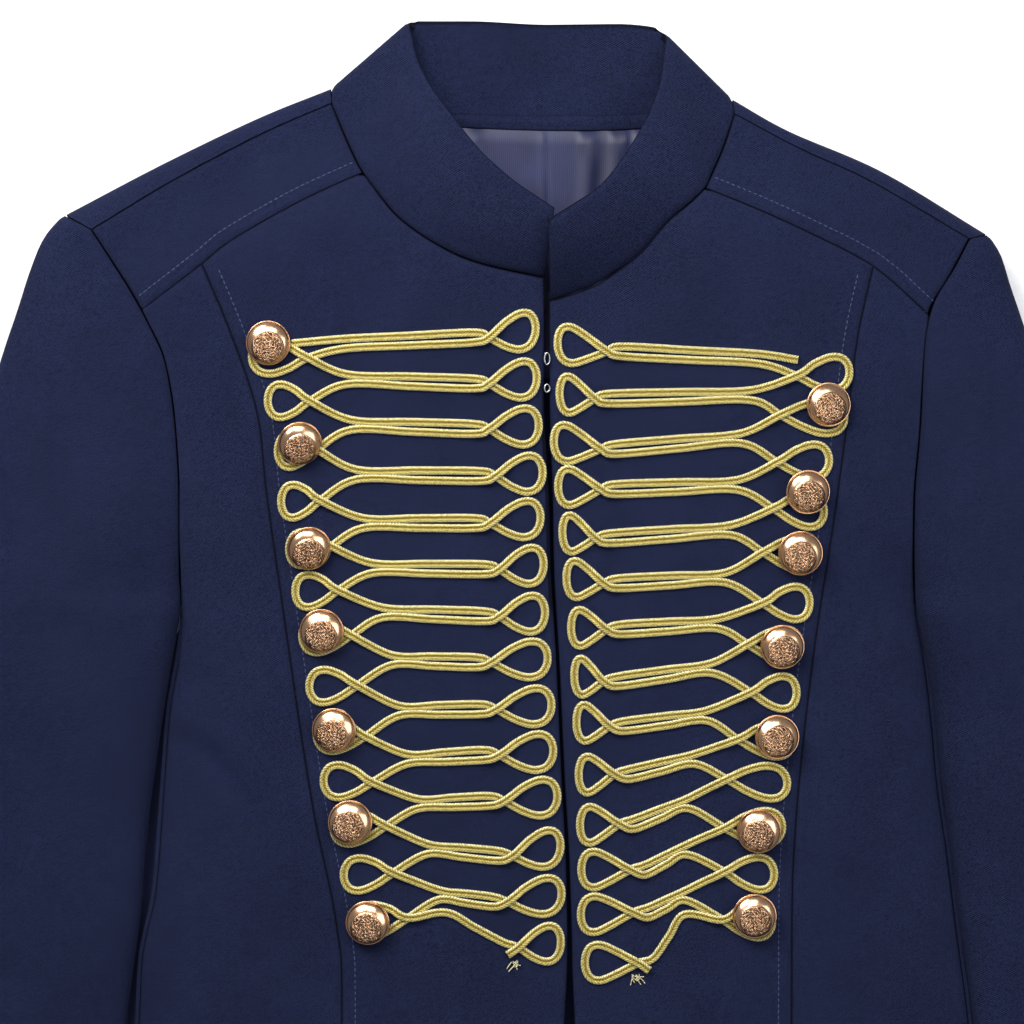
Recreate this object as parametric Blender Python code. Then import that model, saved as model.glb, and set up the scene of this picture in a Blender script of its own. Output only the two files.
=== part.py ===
"""A frogged military jacket laid flat on its back, as separate sewn pieces.

Plan tables are in millimetres: x runs to the right of the view, y towards the collar, z up from the
surface that the jacket lies on. The wearer's right side lies at -x. Everything is moved at the end so
that the origin is the bottom centre of the whole jacket.
"""

import math

import bpy
import numpy as np
from mathutils import Vector

MM = 0.001
SEAM_GAP = 0.28  # each piece stops this far from its seam line, in its own plane
CLOTH_WALL = 2.0
COLLAR_WALL = 3.0
LINING_WALL = 1.2
HEM_Y = -400.0
UNDERARM_Y = -43.0

# Heights of the front above the surface, by y: along the centre, along the side edge, and how
# sharply the front falls to that edge (1 is a gentle slope, 0.5 a round roll).
CROWN_HEIGHTS = ((-400, 12), (-300, 13.5), (-200, 16), (-100, 19), (0, 22), (60, 24), (110, 25))
EDGE_HEIGHTS = ((-400, 5.5), (-230, 6.5), (-100, 8), (-43, 9), (-15, 15), (20, 18), (80, 20), (130, 21))
EDGE_POWERS = ((-400, 0.5), (-60, 0.5), (0, 0.95), (130, 1.0))
SHOULDER_BLEND = 60.0

# Centre front: y, x of the seam line, and the gap on each side of it.
CENTRE_FRONT = (
    (-400, 23.0, 7.0), (-228, 20.3, 2.2), (-200, 20.4, 0.8), (-160, 19.6, 0.3), (-118, 17.4, 0.3),
    (-66, 15.0, 0.3), (-23, 12.5, 0.3), (2, 12.0, 0.3), (54, 10.0, 0.3), (104, 10.0, 0.5),
)

# Each side's own lines. A shoulder row is silhouette x, y, seam x, y and the height of the roll.
RIGHT = {
    "sign": -1,
    "shoulder": ((-86.8, 190, -86.3, 183.0, 13), (-119.3, 176.7, -114.8, 170.4, 15),
                 (-161.5, 156.2, -154.0, 149.5, 18), (-205.1, 133.1, -192.5, 125.8, 21)),
    "neckline": ((-86.3, 183.0), (-81.4, 170.9), (-76.1, 158.9), (-72.1, 151.3), (-56.5, 131.3),
                 (-36.9, 117.5), (-18.7, 109.9), (9.2, 103.7)),
    "yoke_seam": ((-72.1, 151.3), (-100.6, 138), (-130.8, 120.6), (-143.3, 110.4), (-169.5, 90.3)),
    "edge": ((-400, -189.6), (-228, -172.7), (-202, -171.5), (-169, -165), (-125, -161.5), (-89, -158.7),
             (-64, -154.6), (-43, -153.6), (7, -153.5), (41, -155.3), (68, -159.8), (84, -166.9),
             (97, -174), (126, -192.5)),
    "princess": ((-143.3, 110.4), (-130.8, 80.5), (-118.8, 44.5), (-114.4, 6.7), (-105.9, -53.8),
                 (-94.8, -128.6), (-83.7, -184.7), (-81.4, -228), (-84.1, -400)),
    "sleeve_inner": ((-457, -203.4), (-400, -197), (-228, -178.5), (-190, -172.9), (-140, -168.6),
                     (-87, -161.0), (-62, -157.4), (-43, -155.2)),
    "sleeve_outer": ((-208, 131.5), (-214.9, 122.4), (-221.2, 107.2), (-227, 88.6), (-233.2, 69.4),
                     (-245.6, 27.6), (-257.7, -21.4), (-268.8, -83.7), (-279.9, -150.4), (-291, -228),
                     (-301, -340), (-308.4, -457.5)),
}
LEFT = {
    "sign": 1,
    "shoulder": ((93.9, 185.1, 94.3, 178.4, 13), (118.8, 170.9, 123.7, 162.4, 15),
                 (160.5, 152.5, 155.3, 147.3, 18), (206.9, 124.2, 198, 121.8, 21)),
    "neckline": ((94.3, 178.4), (89, 162.4), (81, 144.4), (74, 137.5), (63.6, 128.6), (51.6, 114.5),
                 (36, 103.2), (27.6, 98.8), (11.5, 93.5)),
    "yoke_seam": ((81, 144.4), (107.2, 133.5), (126.4, 124.6), (155.3, 109.5), (179.8, 88.1)),
    "edge": ((-400, 214.5), (-228, 199.4), (-184, 193.6), (-152, 189.6), (-121, 185.1), (-96, 182.9),
             (-64, 178.9), (-43, 175.4), (-17, 173.6), (2, 173.6), (39, 176.2), (69, 177.6),
             (88, 179.8), (105, 189.1), (122, 198)),
    "princess": ((155.3, 109.5), (148.2, 76.5), (142.8, 32), (137.1, -10.7), (127.7, -74.8),
                 (120.6, -150.4), (119.7, -228), (119.7, -400)),
    "sleeve_inner": ((-457, 222), (-400, 217.5), (-228, 201.6), (-184, 195.4), (-152, 191.4),
                     (-121, 186.9), (-96, 184.7), (-64, 180.7), (-43, 176.8)),
    "sleeve_outer": ((209.5, 122.5), (213.4, 114.5), (217.6, 101), (222.5, 86.3), (229, 66),
                     (243, 25), (257, -24), (270, -86), (283, -152), (296, -228), (311, -340),
                     (326, -457.5)),
}
YOKE_CORNERS = {-1: 3, 1: 2}  # which neckline point the yoke seam starts from

# Sleeves, by y along the inner edge: crown height and how far round the tube the inner edge starts,
# in degrees from the outer edge. 90 is the cap's first row, 180 a whole tube.
SLEEVE_CROWNS = ((-457, 13), (-300, 19), (-150, 25), (-43, 29), (60, 29), (110, 24), (130, 21))
SLEEVE_STARTS = ((-43, 180), (-15, 160), (60, 135), (126, 92))
SLEEVE_ROWS = 22
ARMHOLE_EASE = 0.8
SLEEVE_UNDER = -35.0  # the outer seam lies this many degrees past the outer edge, underneath

# Collar top edge: column along the ring, x, y, z. Column 0 is the wearer's right front end.
COLLAR_TOP = (
    (0, 13.4, 133.6, 38.5), (2, -5.8, 146.9, 38), (4, -18.7, 158.9, 35), (6, -33.5, 178, 29),
    (8, -43.0, 192, 22), (10, -47.5, 202, 16), (12, -50.0, 212, 12), (15, -51.8, 220.5, 6),
    (18, -48.0, 221.5, 0), (20, -24, 221.5, 0), (23, 9.8, 220.0, 0), (26, 42.7, 220.3, 0),
    (28, 59.5, 218.5, 0), (31, 64.2, 214.0, 6), (34, 62.8, 205, 12), (36, 61.5, 195, 17),
    (38, 57, 181, 23), (40, 47, 162, 30), (42, 33.8, 144.2, 37), (44, 22, 135, 43),
    (46, 10.7, 127.3, 46),
)
BACK_NECK = ((-79, 181), (-60, 177), (-30, 174.6), (9, 173.6), (45, 174.6), (70, 176), (88, 177))

# Frogging, a row per braid row: inner crossing x, y, inner loop tip x, rise of that loop's middle,
# outer crossing x, y, outer loop tip x, rise of that loop's middle.
RIGHT_FROGS = (
    (-15.6, 77.4, 7.1, 4.0, -95.7, 68.5, -122.7, 0.3),
    (-15.6, 57.0, 7.6, 2.5, -94.8, 49.4, -115.7, 0.0),
    (-15.6, 36.9, 8.5, 1.5, -91.7, 28.0, -111.3, -1.0),
    (-12.9, 16.0, 10.2, 1.5, -90.3, 5.3, -109.9, -0.7),
    (-15.1, -4.9, 9.3, 2.5, -85.4, -15.1, -106.4, -1.6),
    (-11.1, -25.4, 10.7, 2.2, -82.3, -34.7, -103.7, -0.6),
    (-11.1, -46.3, 11.3, 1.6, -76.5, -54.7, -100.6, -0.6),
    (-14.7, -66.8, 12.5, 1.8, -73.9, -77.0, -97.5, -0.7),
    (-12.5, -87.7, 14.2, 1.8, -70.3, -99.7, -94.3, 0.8),
    (-11.1, -108.1, 15.0, 1.8, -67.2, -120.2, -91.2, 0.4),
    (-8.9, -128.6, 16.8, 2.0, -61.0, -139.7, -86.8, -1.2),
    (-5.3, -153.1, 18.2, 4.5, -57.9, -160.6, -82.3, -1.4),
    (-7.6, -173.6, 18.7, 3.5, -51.2, -180.7, -78.4, -2.6),
    (-2.7, -194.0, 18.4, 2.2, 0, 0, 0, 0),
)
LEFT_FROGS = (
    (36.9, 71.2, 12.9, 3.8, 120.6, 60.5, 146.4, 1.6),
    (31.6, 50.3, 13.8, 2.4, 113.5, 43.2, 144.2, -1.3),
    (34.3, 28.0, 11.3, 3.4, 112.1, 22.3, 137.5, 0.6),
    (34.3, 10.2, 13.2, 1.2, 110.4, 1.8, 135.3, -1.6),
    (32.0, -11.6, 15.1, 2.8, 105.9, -17.8, 132.6, -1.2),
    (35.6, -31.6, 16.9, 2.4, 105.9, -40.5, 129.1, 0.0),
    (36.9, -52.1, 19.0, 0.8, 99.2, -58.7, 125.0, -1.0),
    (35.6, -75.2, 20.4, 2.6, 100.6, -80.1, 123.3, -0.4),
    (38.3, -95.2, 21.4, 1.8, 94.8, -101.0, 121.5, -0.8),
    (40.5, -116.6, 22.4, -0.4, 89.9, -118.8, 119.2, -2.2),
    (42.7, -138.8, 23.0, -0.7, 89.0, -140.6, 117.0, 0.2),
    (47.6, -159.3, 23.6, 0.0, 89.0, -160.2, 113.5, -1.4),
    (49.0, -178.4, 23.4, -1.2, 88.1, -181.6, 112.6, -1.2),
    (51.2, -201.1, 25.2, 0.2, 0, 0, 0, 0),
)
BRAID_WIDTH = 3.9
BRAID_THICKNESS = 1.4
BRAID_SPACING = 4.35
BRAID_LIFT = 0.4
CROSSING_LIFT = BRAID_THICKNESS + 0.4
INNER_HALF_HEIGHT = 8.0
OUTER_HALF_HEIGHT = 7.3
BUTTONS = {
    -1: ((-113.5, 75.2), (-100.1, 31.6), (-96.1, -15.1), (-89.9, -52.5), (-84.1, -96.6),
         (-77.4, -138.0), (-69.4, -182.5)),
    1: ((134.8, 47.6), (125.5, 9.3), (122.8, -18.2), (114.4, -59.6), (112.1, -100.1),
        (104.6, -141.5), (102.4, -179.8)),
}
BUTTON_RADIUS = 9.9
BUTTON_SEAT = 3.75  # clear of a crossing of the braid
FIRST_BUTTON_SEAT = 2.6  # a single strand runs under the first one
BUTTON_HEIGHT = 5.6
HOOKS = ((10.2, 68.0, 2.6), (10.2, 54.9, 1.7))  # x, y and half the length of each


def glide(table, x, column=1):
    """A smooth value between a table's rows that never overshoots them."""
    rows = sorted(table)
    xs = np.array([row[0] for row in rows], float)
    ys = np.array([row[column] for row in rows], float)
    step = np.diff(xs)
    slope = np.diff(ys) / step
    tangent = np.zeros(len(xs))
    tangent[0], tangent[-1] = slope[0], slope[-1]
    for i in range(1, len(xs) - 1):
        if slope[i - 1] * slope[i] > 0:
            tangent[i] = 2 * slope[i - 1] * slope[i] / (slope[i - 1] + slope[i])
    x = min(max(x, xs[0]), xs[-1])
    i = min(int(np.searchsorted(xs, x, "right")) - 1, len(xs) - 2)
    t = (x - xs[i]) / step[i]
    start = (1 + 2 * t) * (1 - t) ** 2 * ys[i] + t * (1 - t) ** 2 * step[i] * tangent[i]
    return start + t * t * (3 - 2 * t) * ys[i + 1] + t * t * (t - 1) * step[i] * tangent[i + 1]


def smooth_line(points, count):
    """A Catmull-Rom curve through the points, as count + 1 points evenly spaced along it."""
    p = np.array(points, float)
    p = np.vstack([2 * p[0] - p[1], p, 2 * p[-1] - p[-2]])
    fine = []
    for a, b, c, d in zip(p, p[1:], p[2:], p[3:]):
        for t in np.linspace(0, 1, 24, endpoint=False):
            fine.append(0.5 * (2 * b + (c - a) * t + (2 * a - 5 * b + 4 * c - d) * t**2
                               + (3 * b - a - 3 * c + d) * t**3))
    fine = np.array(fine + [p[-2]])
    along = np.concatenate([[0], np.cumsum(np.linalg.norm(np.diff(fine, axis=0), axis=1))])
    at = np.linspace(0, along[-1], count + 1)
    return np.stack([np.interp(at, along, fine[:, k]) for k in range(fine.shape[1])], axis=1)


def edge_x(side, y):
    """The plan line of a side's armhole, and below the underarm of its side fold."""
    return glide(side["edge"], y)


def front_height(x, y):
    """Height of the outer face of the front at a plan point."""
    centre = glide(CENTRE_FRONT, y)
    side = RIGHT if x < centre else LEFT
    outward = min(abs(x - centre) / abs(edge_x(side, y) - centre), 1.0)
    rim = glide(EDGE_HEIGHTS, y)
    chest = rim + (glide(CROWN_HEIGHTS, y) - rim) * (1 - outward**3) ** glide(EDGE_POWERS, y)
    seam = [(row[2], row[3], row[4]) for row in side["shoulder"]]
    below = min(max((glide(seam, x) - y) / SHOULDER_BLEND, 0.0), 1.0)
    roll = glide(seam, x, 2)
    return roll + (chest - roll) * below * below * (3 - 2 * below)


def on_front(x, y, lift=0.0):
    """A point lift above the front's outer face."""
    step = 1.0
    slope_x = (front_height(x + step, y) - front_height(x - step, y)) / (2 * step)
    slope_y = (front_height(x, y + step) - front_height(x, y - step)) / (2 * step)
    normal = np.array([-slope_x, -slope_y, 1.0])
    normal /= np.linalg.norm(normal)
    return np.array([x, y, front_height(x, y)]) + normal * lift, normal


def coons(bottom, top, left, right):
    """A plan grid filled in from its four edges; rows run from bottom to top."""
    rows, columns = len(left), len(bottom)
    v = np.linspace(0, 1, rows)[:, None, None]
    u = np.linspace(0, 1, columns)[None, :, None]
    across = (1 - u) * left[:, None] + u * right[:, None]
    along = (1 - v) * bottom[None] + v * top[None]
    corners = ((1 - u) * (1 - v) * bottom[0] + u * (1 - v) * bottom[-1]
               + (1 - u) * v * top[0] + u * v * top[-1])
    return across + along - corners


def inset(grid):
    """Draws a grid's four edges in by the seam gap."""
    grid = grid.copy()
    for edge, inner in ((0, 1), (-1, -2)):
        step = grid[inner] - grid[edge]
        grid[edge] += SEAM_GAP * step / np.linalg.norm(step, axis=-1, keepdims=True)
    for edge, inner in ((0, 1), (-1, -2)):
        step = grid[:, inner] - grid[:, edge]
        grid[:, edge] += SEAM_GAP * step / np.linalg.norm(step, axis=-1, keepdims=True)
    return grid


def material(name, colour, roughness, metallic=0.0):
    made = bpy.data.materials.new(name)
    made.use_nodes = True
    shader = made.node_tree.nodes["Principled BSDF"]
    shader.inputs["Base Color"].default_value = (*colour, 1.0)
    shader.inputs["Roughness"].default_value = roughness
    shader.inputs["Metallic"].default_value = metallic
    return made


def add(name, points, faces, made):
    mesh = bpy.data.meshes.new(name)
    mesh.from_pydata([tuple(p) for p in np.array(points) * MM], [], faces)
    mesh.materials.append(made)
    mesh.shade_smooth()
    mesh.set_sharp_from_angle(angle=math.radians(50))
    thing = bpy.data.objects.new(name, mesh)
    bpy.context.collection.objects.link(thing)
    return thing


def thicken(name, points, faces, wall, made, level=(), known=None):
    """A closed solid from an outer face and a wall behind it. Points listed in level get a
    horizontal wall, so that two halves of a side fold meet face to face. Points in known get
    the normal given there, so that pieces on either side of a rolled seam stay apart."""
    points = np.array(points, float)
    normals = np.zeros_like(points)
    for face in faces:
        a, b, c, d = points[list(face)]
        normals[list(face)] += np.cross(c - a, d - b)
    for i in level:
        normals[i, 2] = 0.0
    for i, normal in (known or {}).items():
        normals[i] = normal
    normals /= np.linalg.norm(normals, axis=1, keepdims=True)
    count = len(points)
    edges = {}
    for face in faces:
        for a, b in zip(face, face[1:] + face[:1]):
            edges[(a, b)] = edges.get((a, b), 0) + 1
    rim = [(b, a) for a, b in edges if (b, a) not in edges]
    inner = points - normals * wall
    inner[:, 2] = np.maximum(inner[:, 2], 0.0)
    solid = [tuple(f) for f in faces]
    solid += [tuple(i + count for i in reversed(f)) for f in faces]
    solid += [(a, b, b + count, a + count) for a, b in rim]
    return add(name, np.vstack([points, inner]), solid, made)


def grid_faces(rows, columns, flip):
    faces = []
    for i in range(rows - 1):
        for j in range(columns - 1):
            face = (i * columns + j, i * columns + j + 1, (i + 1) * columns + j + 1, (i + 1) * columns + j)
            faces.append(tuple(reversed(face)) if flip else face)
    return faces


BODY_ROWS = 17
SIDE_ROWS = 10  # of those, the rows below the underarm
CENTRE_COLUMNS = (8, 7)  # neckline part and yoke seam part of the centre panel's top edge
SIDE_COLUMNS = 5
SHOULDER_COLUMNS = (4, 8)
YOKE_ROWS = 5
ROLL_TURNS = [math.radians(angle) for angle in (-90, -60, -30, 0, 30, 60, 90)]


def seam_lines(side):
    """The sampled lines that neighbouring pieces of one side share."""
    corner = YOKE_CORNERS[side["sign"]]
    princess = smooth_line(side["princess"], BODY_ROWS)
    yoke = smooth_line(side["yoke_seam"], 60)
    split = int(np.argmin(np.linalg.norm(yoke - princess[0], axis=1)))
    shoulder = smooth_line(side["shoulder"], 60)
    step = int(np.argmin(np.abs(shoulder[:, 2] - side["shoulder"][1][2])))
    return {
        "princess": princess,
        "yoke_centre": smooth_line(np.vstack([yoke[:split:6], princess[:1]]), CENTRE_COLUMNS[1]),
        "yoke_side": smooth_line(np.vstack([princess[:1], yoke[split + 6:-3:6], yoke[-1:]]), SIDE_COLUMNS),
        "neck_yoke": smooth_line(side["neckline"][:corner + 1], YOKE_ROWS),
        "neck_front": smooth_line(side["neckline"][corner:], CENTRE_COLUMNS[0]),
        "shoulder": np.vstack([smooth_line(shoulder[:step + 1], SHOULDER_COLUMNS[0]),
                               smooth_line(shoulder[step:], SHOULDER_COLUMNS[1])[1:]]),
    }


def front_solid(name, grid, made, flip, level_column=None, rolled_top=False):
    """A front panel from its plan grid: rows from the hem up, columns from the centre out."""
    grid = inset(grid)
    rows, columns = grid.shape[:2]
    points = [(x, y, front_height(x, y)) for x, y in grid.reshape(-1, 2)]
    level = []
    if level_column is not None:
        level = [i * columns + columns - 1 for i in range(rows) if grid[i, -1, 1] < UNDERARM_Y + 4]
    known = {(rows - 1) * columns + j: (0.0, 0.0, 1.0) for j in range(columns if rolled_top else 0)}
    return thicken(name, points, grid_faces(rows, columns, flip), CLOTH_WALL, made, level, known)


def front_panels(side, word, cloth):
    lines, sign = seam_lines(side), side["sign"]
    flip = sign < 0
    princess = lines["princess"][::-1]
    top_y = lines["neck_front"][-1][1]
    centre = []
    for y in np.linspace(HEM_Y, top_y, BODY_ROWS + 1):
        centre.append((glide(CENTRE_FRONT, y) + sign * glide(CENTRE_FRONT, y, 2), y))
    centre = np.array(centre)
    top = np.vstack([lines["neck_front"][::-1], lines["yoke_centre"][1:]])
    top[0] = centre[-1]
    hem_columns = len(top)
    hem = np.linspace(centre[0], princess[0], hem_columns)
    front_solid(f"front_centre_{word}", coons(hem, top, centre, princess), cloth, flip)

    below = np.linspace(HEM_Y, UNDERARM_Y, SIDE_ROWS + 1)
    above = np.linspace(UNDERARM_Y, side["yoke_seam"][-1][1], BODY_ROWS - SIDE_ROWS + 1)
    outer_y = np.concatenate([below, above[1:]])
    outer = np.array([(edge_x(side, y), y) for y in outer_y])
    hem = np.linspace(princess[0], outer[0], SIDE_COLUMNS + 1)
    top = lines["yoke_side"].copy()
    outer[-1] = top[-1]
    plan = coons(hem, top, princess, outer)
    bend = np.array([0.0, 0.28, 0.55, 0.78, 0.93, 1.0])
    even = np.linspace(0, 1, SIDE_COLUMNS + 1)
    for row in range(len(plan) - 1):
        keep = min(1.0, (len(plan) - 1 - row) / 6)
        at = bend * keep + even * (1 - keep)
        plan[row] = np.stack([np.interp(at, even, plan[row, :, k]) for k in (0, 1)], axis=1)
    front_solid(f"front_side_{word}", plan, cloth, flip, level_column=-1)

    yoke_bottom = np.vstack([lines["yoke_centre"], lines["yoke_side"][1:]])
    yoke_top = lines["shoulder"][:, 2:4]
    outer_y = np.linspace(yoke_bottom[-1][1], yoke_top[-1][1], YOKE_ROWS + 1)
    outer = np.array([(edge_x(side, y), y) for y in outer_y])
    outer[0], outer[-1] = yoke_bottom[-1], yoke_top[-1]
    neck = lines["neck_yoke"][::-1]
    plan = coons(yoke_bottom, yoke_top, neck, outer)
    front_solid(f"front_yoke_{word}", plan, cloth, flip, rolled_top=True)


def roll_normal(row, turn):
    """The outward direction of the shoulder roll at one station."""
    out = (row[0:2] - row[2:4]) / np.linalg.norm(row[0:2] - row[2:4])
    return (out[0] * math.cos(turn), out[1] * math.cos(turn), math.sin(turn))


def roll_rows(shoulder):
    """The back's strip over one side's shoulder, from the surface round to the shoulder seam."""
    rows = []
    for turn in ROLL_TURNS:
        plan = shoulder[:, 2:4] + (shoulder[:, 0:2] - shoulder[:, 2:4]) * math.cos(turn)
        height = shoulder[:, 4:5] / 2 * (1 + math.sin(turn))
        rows.append(np.hstack([plan, height]))
    return rows


def back_panels(cloth):
    neck = smooth_line(BACK_NECK, 8)
    rolls, lines = {}, {}
    for side in (RIGHT, LEFT):
        lines[side["sign"]] = seam_lines(side)["shoulder"]
        rolls[side["sign"]] = roll_rows(lines[side["sign"]])
    split = SHOULDER_COLUMNS[0]
    neck[0], neck[-1] = lines[-1][0, 2:4], lines[1][0, 2:4]
    floor_line = np.vstack([lines[-1][split:0:-1, 2:4], neck, lines[1][1:split + 1, 2:4]])
    columns, flat_rows = len(floor_line), 7
    hem = np.linspace((-88.0, HEM_Y), (112.0, HEM_Y), columns)
    flat = [hem + (floor_line - hem) * t for t in np.linspace(0, 1, flat_rows)]
    points = [(x, y, 0.0) for row in flat for x, y in row]
    faces = grid_faces(flat_rows, columns, True)
    known = {}
    for sign, ends in ((-1, range(split, -1, -1)), (1, range(0, split + 1))):
        first = 0 if sign < 0 else columns - split - 1
        below = [(flat_rows - 1) * columns + first + i for i in range(split + 1)]
        for row, turn in zip(rolls[sign][1:], ROLL_TURNS[1:]):
            here = [len(points) + i for i in range(split + 1)]
            points += [tuple(row[i]) for i in ends]
            known.update({at: roll_normal(lines[sign][i], turn) for at, i in zip(here, ends)})
            for i in range(split):
                faces.append((below[i], here[i], here[i + 1], below[i + 1]))
            below = here
    points = np.array(points)
    edge_rows(points, faces)
    thicken("back_centre", points, faces, CLOTH_WALL, cloth, known=known)

    for side, word in ((RIGHT, "right"), (LEFT, "left")):
        sign = side["sign"]
        shoulder = lines[sign][split:]
        count = len(shoulder)
        inner = np.linspace((-88.0 if sign < 0 else 112.0, HEM_Y), shoulder[0, 2:4], 17)
        below = np.linspace(HEM_Y, UNDERARM_Y, 9)
        outer_y = np.concatenate([below, np.linspace(UNDERARM_Y, shoulder[-1, 3], 9)[1:]])
        outer = np.array([(edge_x(side, y), y) for y in outer_y])
        outer[-1] = shoulder[-1, 2:4]
        hem = np.linspace(inner[0], outer[0], count)
        plan = coons(hem, shoulder[:, 2:4], inner, outer)
        bend = np.array([0.0, 0.2, 0.4, 0.6, 0.78, 0.88, 0.94, 0.98, 1.0])
        even = np.linspace(0, 1, count)
        for row in range(len(plan)):
            keep = min(1.0, (len(plan) - 1 - row) / 6)
            at = bend * keep + even * (1 - keep)
            plan[row] = np.stack([np.interp(at, even, plan[row, :, k]) for k in (0, 1)], axis=1)
        points, level = [], []
        for i, row in enumerate(plan):
            for j, (x, y) in enumerate(row):
                rim = glide(EDGE_HEIGHTS, y) if y < UNDERARM_Y + 20 else 0.0
                rim *= min(1.0, max(0.0, (UNDERARM_Y + 20 - y) / 20)) if y > UNDERARM_Y else 1.0
                inside = abs(edge_x(side, y) - x)
                turn = min(1.0, max(0.0, 1 - inside / max(rim, 0.1)))
                points.append((x, y, rim * (1 - math.sqrt(1 - turn * turn))))
                if j == count - 1 and y < UNDERARM_Y + 4:
                    level.append(len(points) - 1)
        roll = [np.array(row)[split:] for row in rolls[sign][1:]]
        grid = np.vstack([np.array(points).reshape(len(plan), count, 3), np.array(roll)])
        grid = inset(grid)
        known = {}
        for i, turn in enumerate(ROLL_TURNS[1:], len(plan)):
            known.update({i * count + j: roll_normal(shoulder[j], turn) for j in range(count)})
        thicken(f"back_side_{word}", grid.reshape(-1, 3), grid_faces(len(grid), count, sign > 0), CLOTH_WALL,
                cloth, level, known)


def edge_rows(points, faces):
    """Draws an open face's outline in by the seam gap, in place."""
    used = {}
    for face in faces:
        for a, b in zip(face, face[1:] + face[:1]):
            used[(a, b)] = face
    moves = {}
    for (a, b), face in used.items():
        if (b, a) not in used:
            middle = points[list(face)].mean(axis=0)
            along = points[b] - points[a]
            inward = middle - points[a]
            inward -= along * np.dot(inward, along) / np.dot(along, along)
            inward /= np.linalg.norm(inward)
            for i in (a, b):
                moves.setdefault(i, []).append(inward * SEAM_GAP)
    for i, steps in moves.items():
        points[i] += np.mean(steps, axis=0)


def sleeve_point(side, inner, outer, angle, start, crown, front_edge):
    """A point of a sleeve's ring; the angle runs from start at the top of the inner edge to -start."""
    turn, first = math.radians(angle), math.radians(start)
    share = (math.cos(turn) - math.cos(first)) / (1 - math.cos(first))
    plan = inner + (outer - inner) * share
    middle = min(0.42 * crown, glide(EDGE_HEIGHTS, -60) + 3.0) if start > 150 else 0.5 * crown
    sine = math.sin(turn)
    if sine >= 0:
        height = middle + (crown - middle) * sine**0.7
        at_edge = middle + (crown - middle) * max(math.sin(first), 0.0)**0.7
        height += (front_edge - at_edge) * (1 - share) ** 2
    else:
        height = middle * (1 - min(1.0, 1.12 * abs(sine) ** 0.5))
        at_edge = middle * (1 - min(1.0, 1.12 * abs(math.sin(first)) ** 0.5))
        back_edge = front_edge if start > 179 else 0.0
        height += (back_edge - at_edge) * (1 - share) ** 6
    return (plan[0], plan[1], max(height, 0.0))


def sleeve_rows(side, count):
    """Plan points of each sleeve row: the inner edge up the armhole, and the outer edge."""
    shoulder = side["shoulder"][-1]
    armhole = []
    for y in np.linspace(UNDERARM_Y, shoulder[3], 13):
        armhole.append((edge_x(side, y) + side["sign"] * ARMHOLE_EASE, y))
    tube = [(glide(side["sleeve_inner"], y), y) for y in np.linspace(-457, UNDERARM_Y, 13)[:-1]]
    inner = smooth_line(np.array(tube + armhole)[::-1], count)
    outer = smooth_line(side["sleeve_outer"], count)
    return inner, outer


def sleeves(side, word, cloth):
    sign = side["sign"]
    inner, outer = sleeve_rows(side, SLEEVE_ROWS)
    rings = []
    for a, b in zip(inner, outer):
        start = glide(SLEEVE_STARTS, a[1])
        crown = glide(SLEEVE_CROWNS, a[1])
        edge = glide(EDGE_HEIGHTS, a[1])
        top = np.linspace(start, SLEEVE_UNDER, 11)
        under = np.linspace(SLEEVE_UNDER, -start, 8)
        edge = min(edge, crown)
        rings.append(([sleeve_point(side, a, b, angle, start, crown, edge) for angle in top],
                      [sleeve_point(side, a, b, angle, start, crown, edge) for angle in under]))
    for part, name in ((0, "sleeve_upper"), (1, "sleeve_under")):
        grid = inset(np.array([ring[part] for ring in rings]))
        columns = grid.shape[1]
        whole = [i for i, a in enumerate(inner) if a[1] < UNDERARM_Y + 4]
        level = [i * columns + (0 if part == 0 else columns - 1) for i in whole]
        seam = columns - 1 if part == 0 else 0
        known = {i * columns + seam: (0.0, 0.0, -1.0) for i in range(len(grid))}
        thicken(f"{name}_{word}", grid.reshape(-1, 3), grid_faces(len(grid), columns, sign > 0), CLOTH_WALL,
                cloth, level, known)


def collar_base():
    """The ring along which the collar is sewn, from the wearer's right front to the left front."""
    ring = []
    for side in (RIGHT, LEFT):
        lines = seam_lines(side)
        half = [(x, y, front_height(x, y)) for x, y in lines["neck_front"][::-1]]
        half += [(x, y, front_height(x, y)) for x, y in lines["neck_yoke"][-2::-1]]
        half += [tuple(row[0]) for row in roll_rows(lines["shoulder"])[-2::-1]]
        ring.append(half)
    neck = smooth_line(BACK_NECK, 8)
    back = [(x, y, 0.0) for x, y in neck[1:-1]]
    return np.array(ring[0] + back + ring[1][::-1])


def collar(cloth):
    base = collar_base()
    last = len(base) - 1
    rows = 4
    column = np.arange(last + 1) * 46.0 / last
    top = np.array([[glide(COLLAR_TOP, c, k) for k in (1, 2, 3)] for c in column])
    toward = top - base
    toward /= np.linalg.norm(toward, axis=1, keepdims=True)
    base = base + toward * 0.9
    grid = []
    for v in np.linspace(0, 1, rows + 1):
        row = base + (top - base) * v
        row[:, 2] += 3.0 * math.sin(math.pi * v) * np.clip((base[:, 2] - 8) / 14, 0, 1)
        grid.append(row)
    grid = np.array(grid)
    thicken("collar", grid.reshape(-1, 3), grid_faces(rows + 1, last + 1, True), COLLAR_WALL, cloth)


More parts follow.
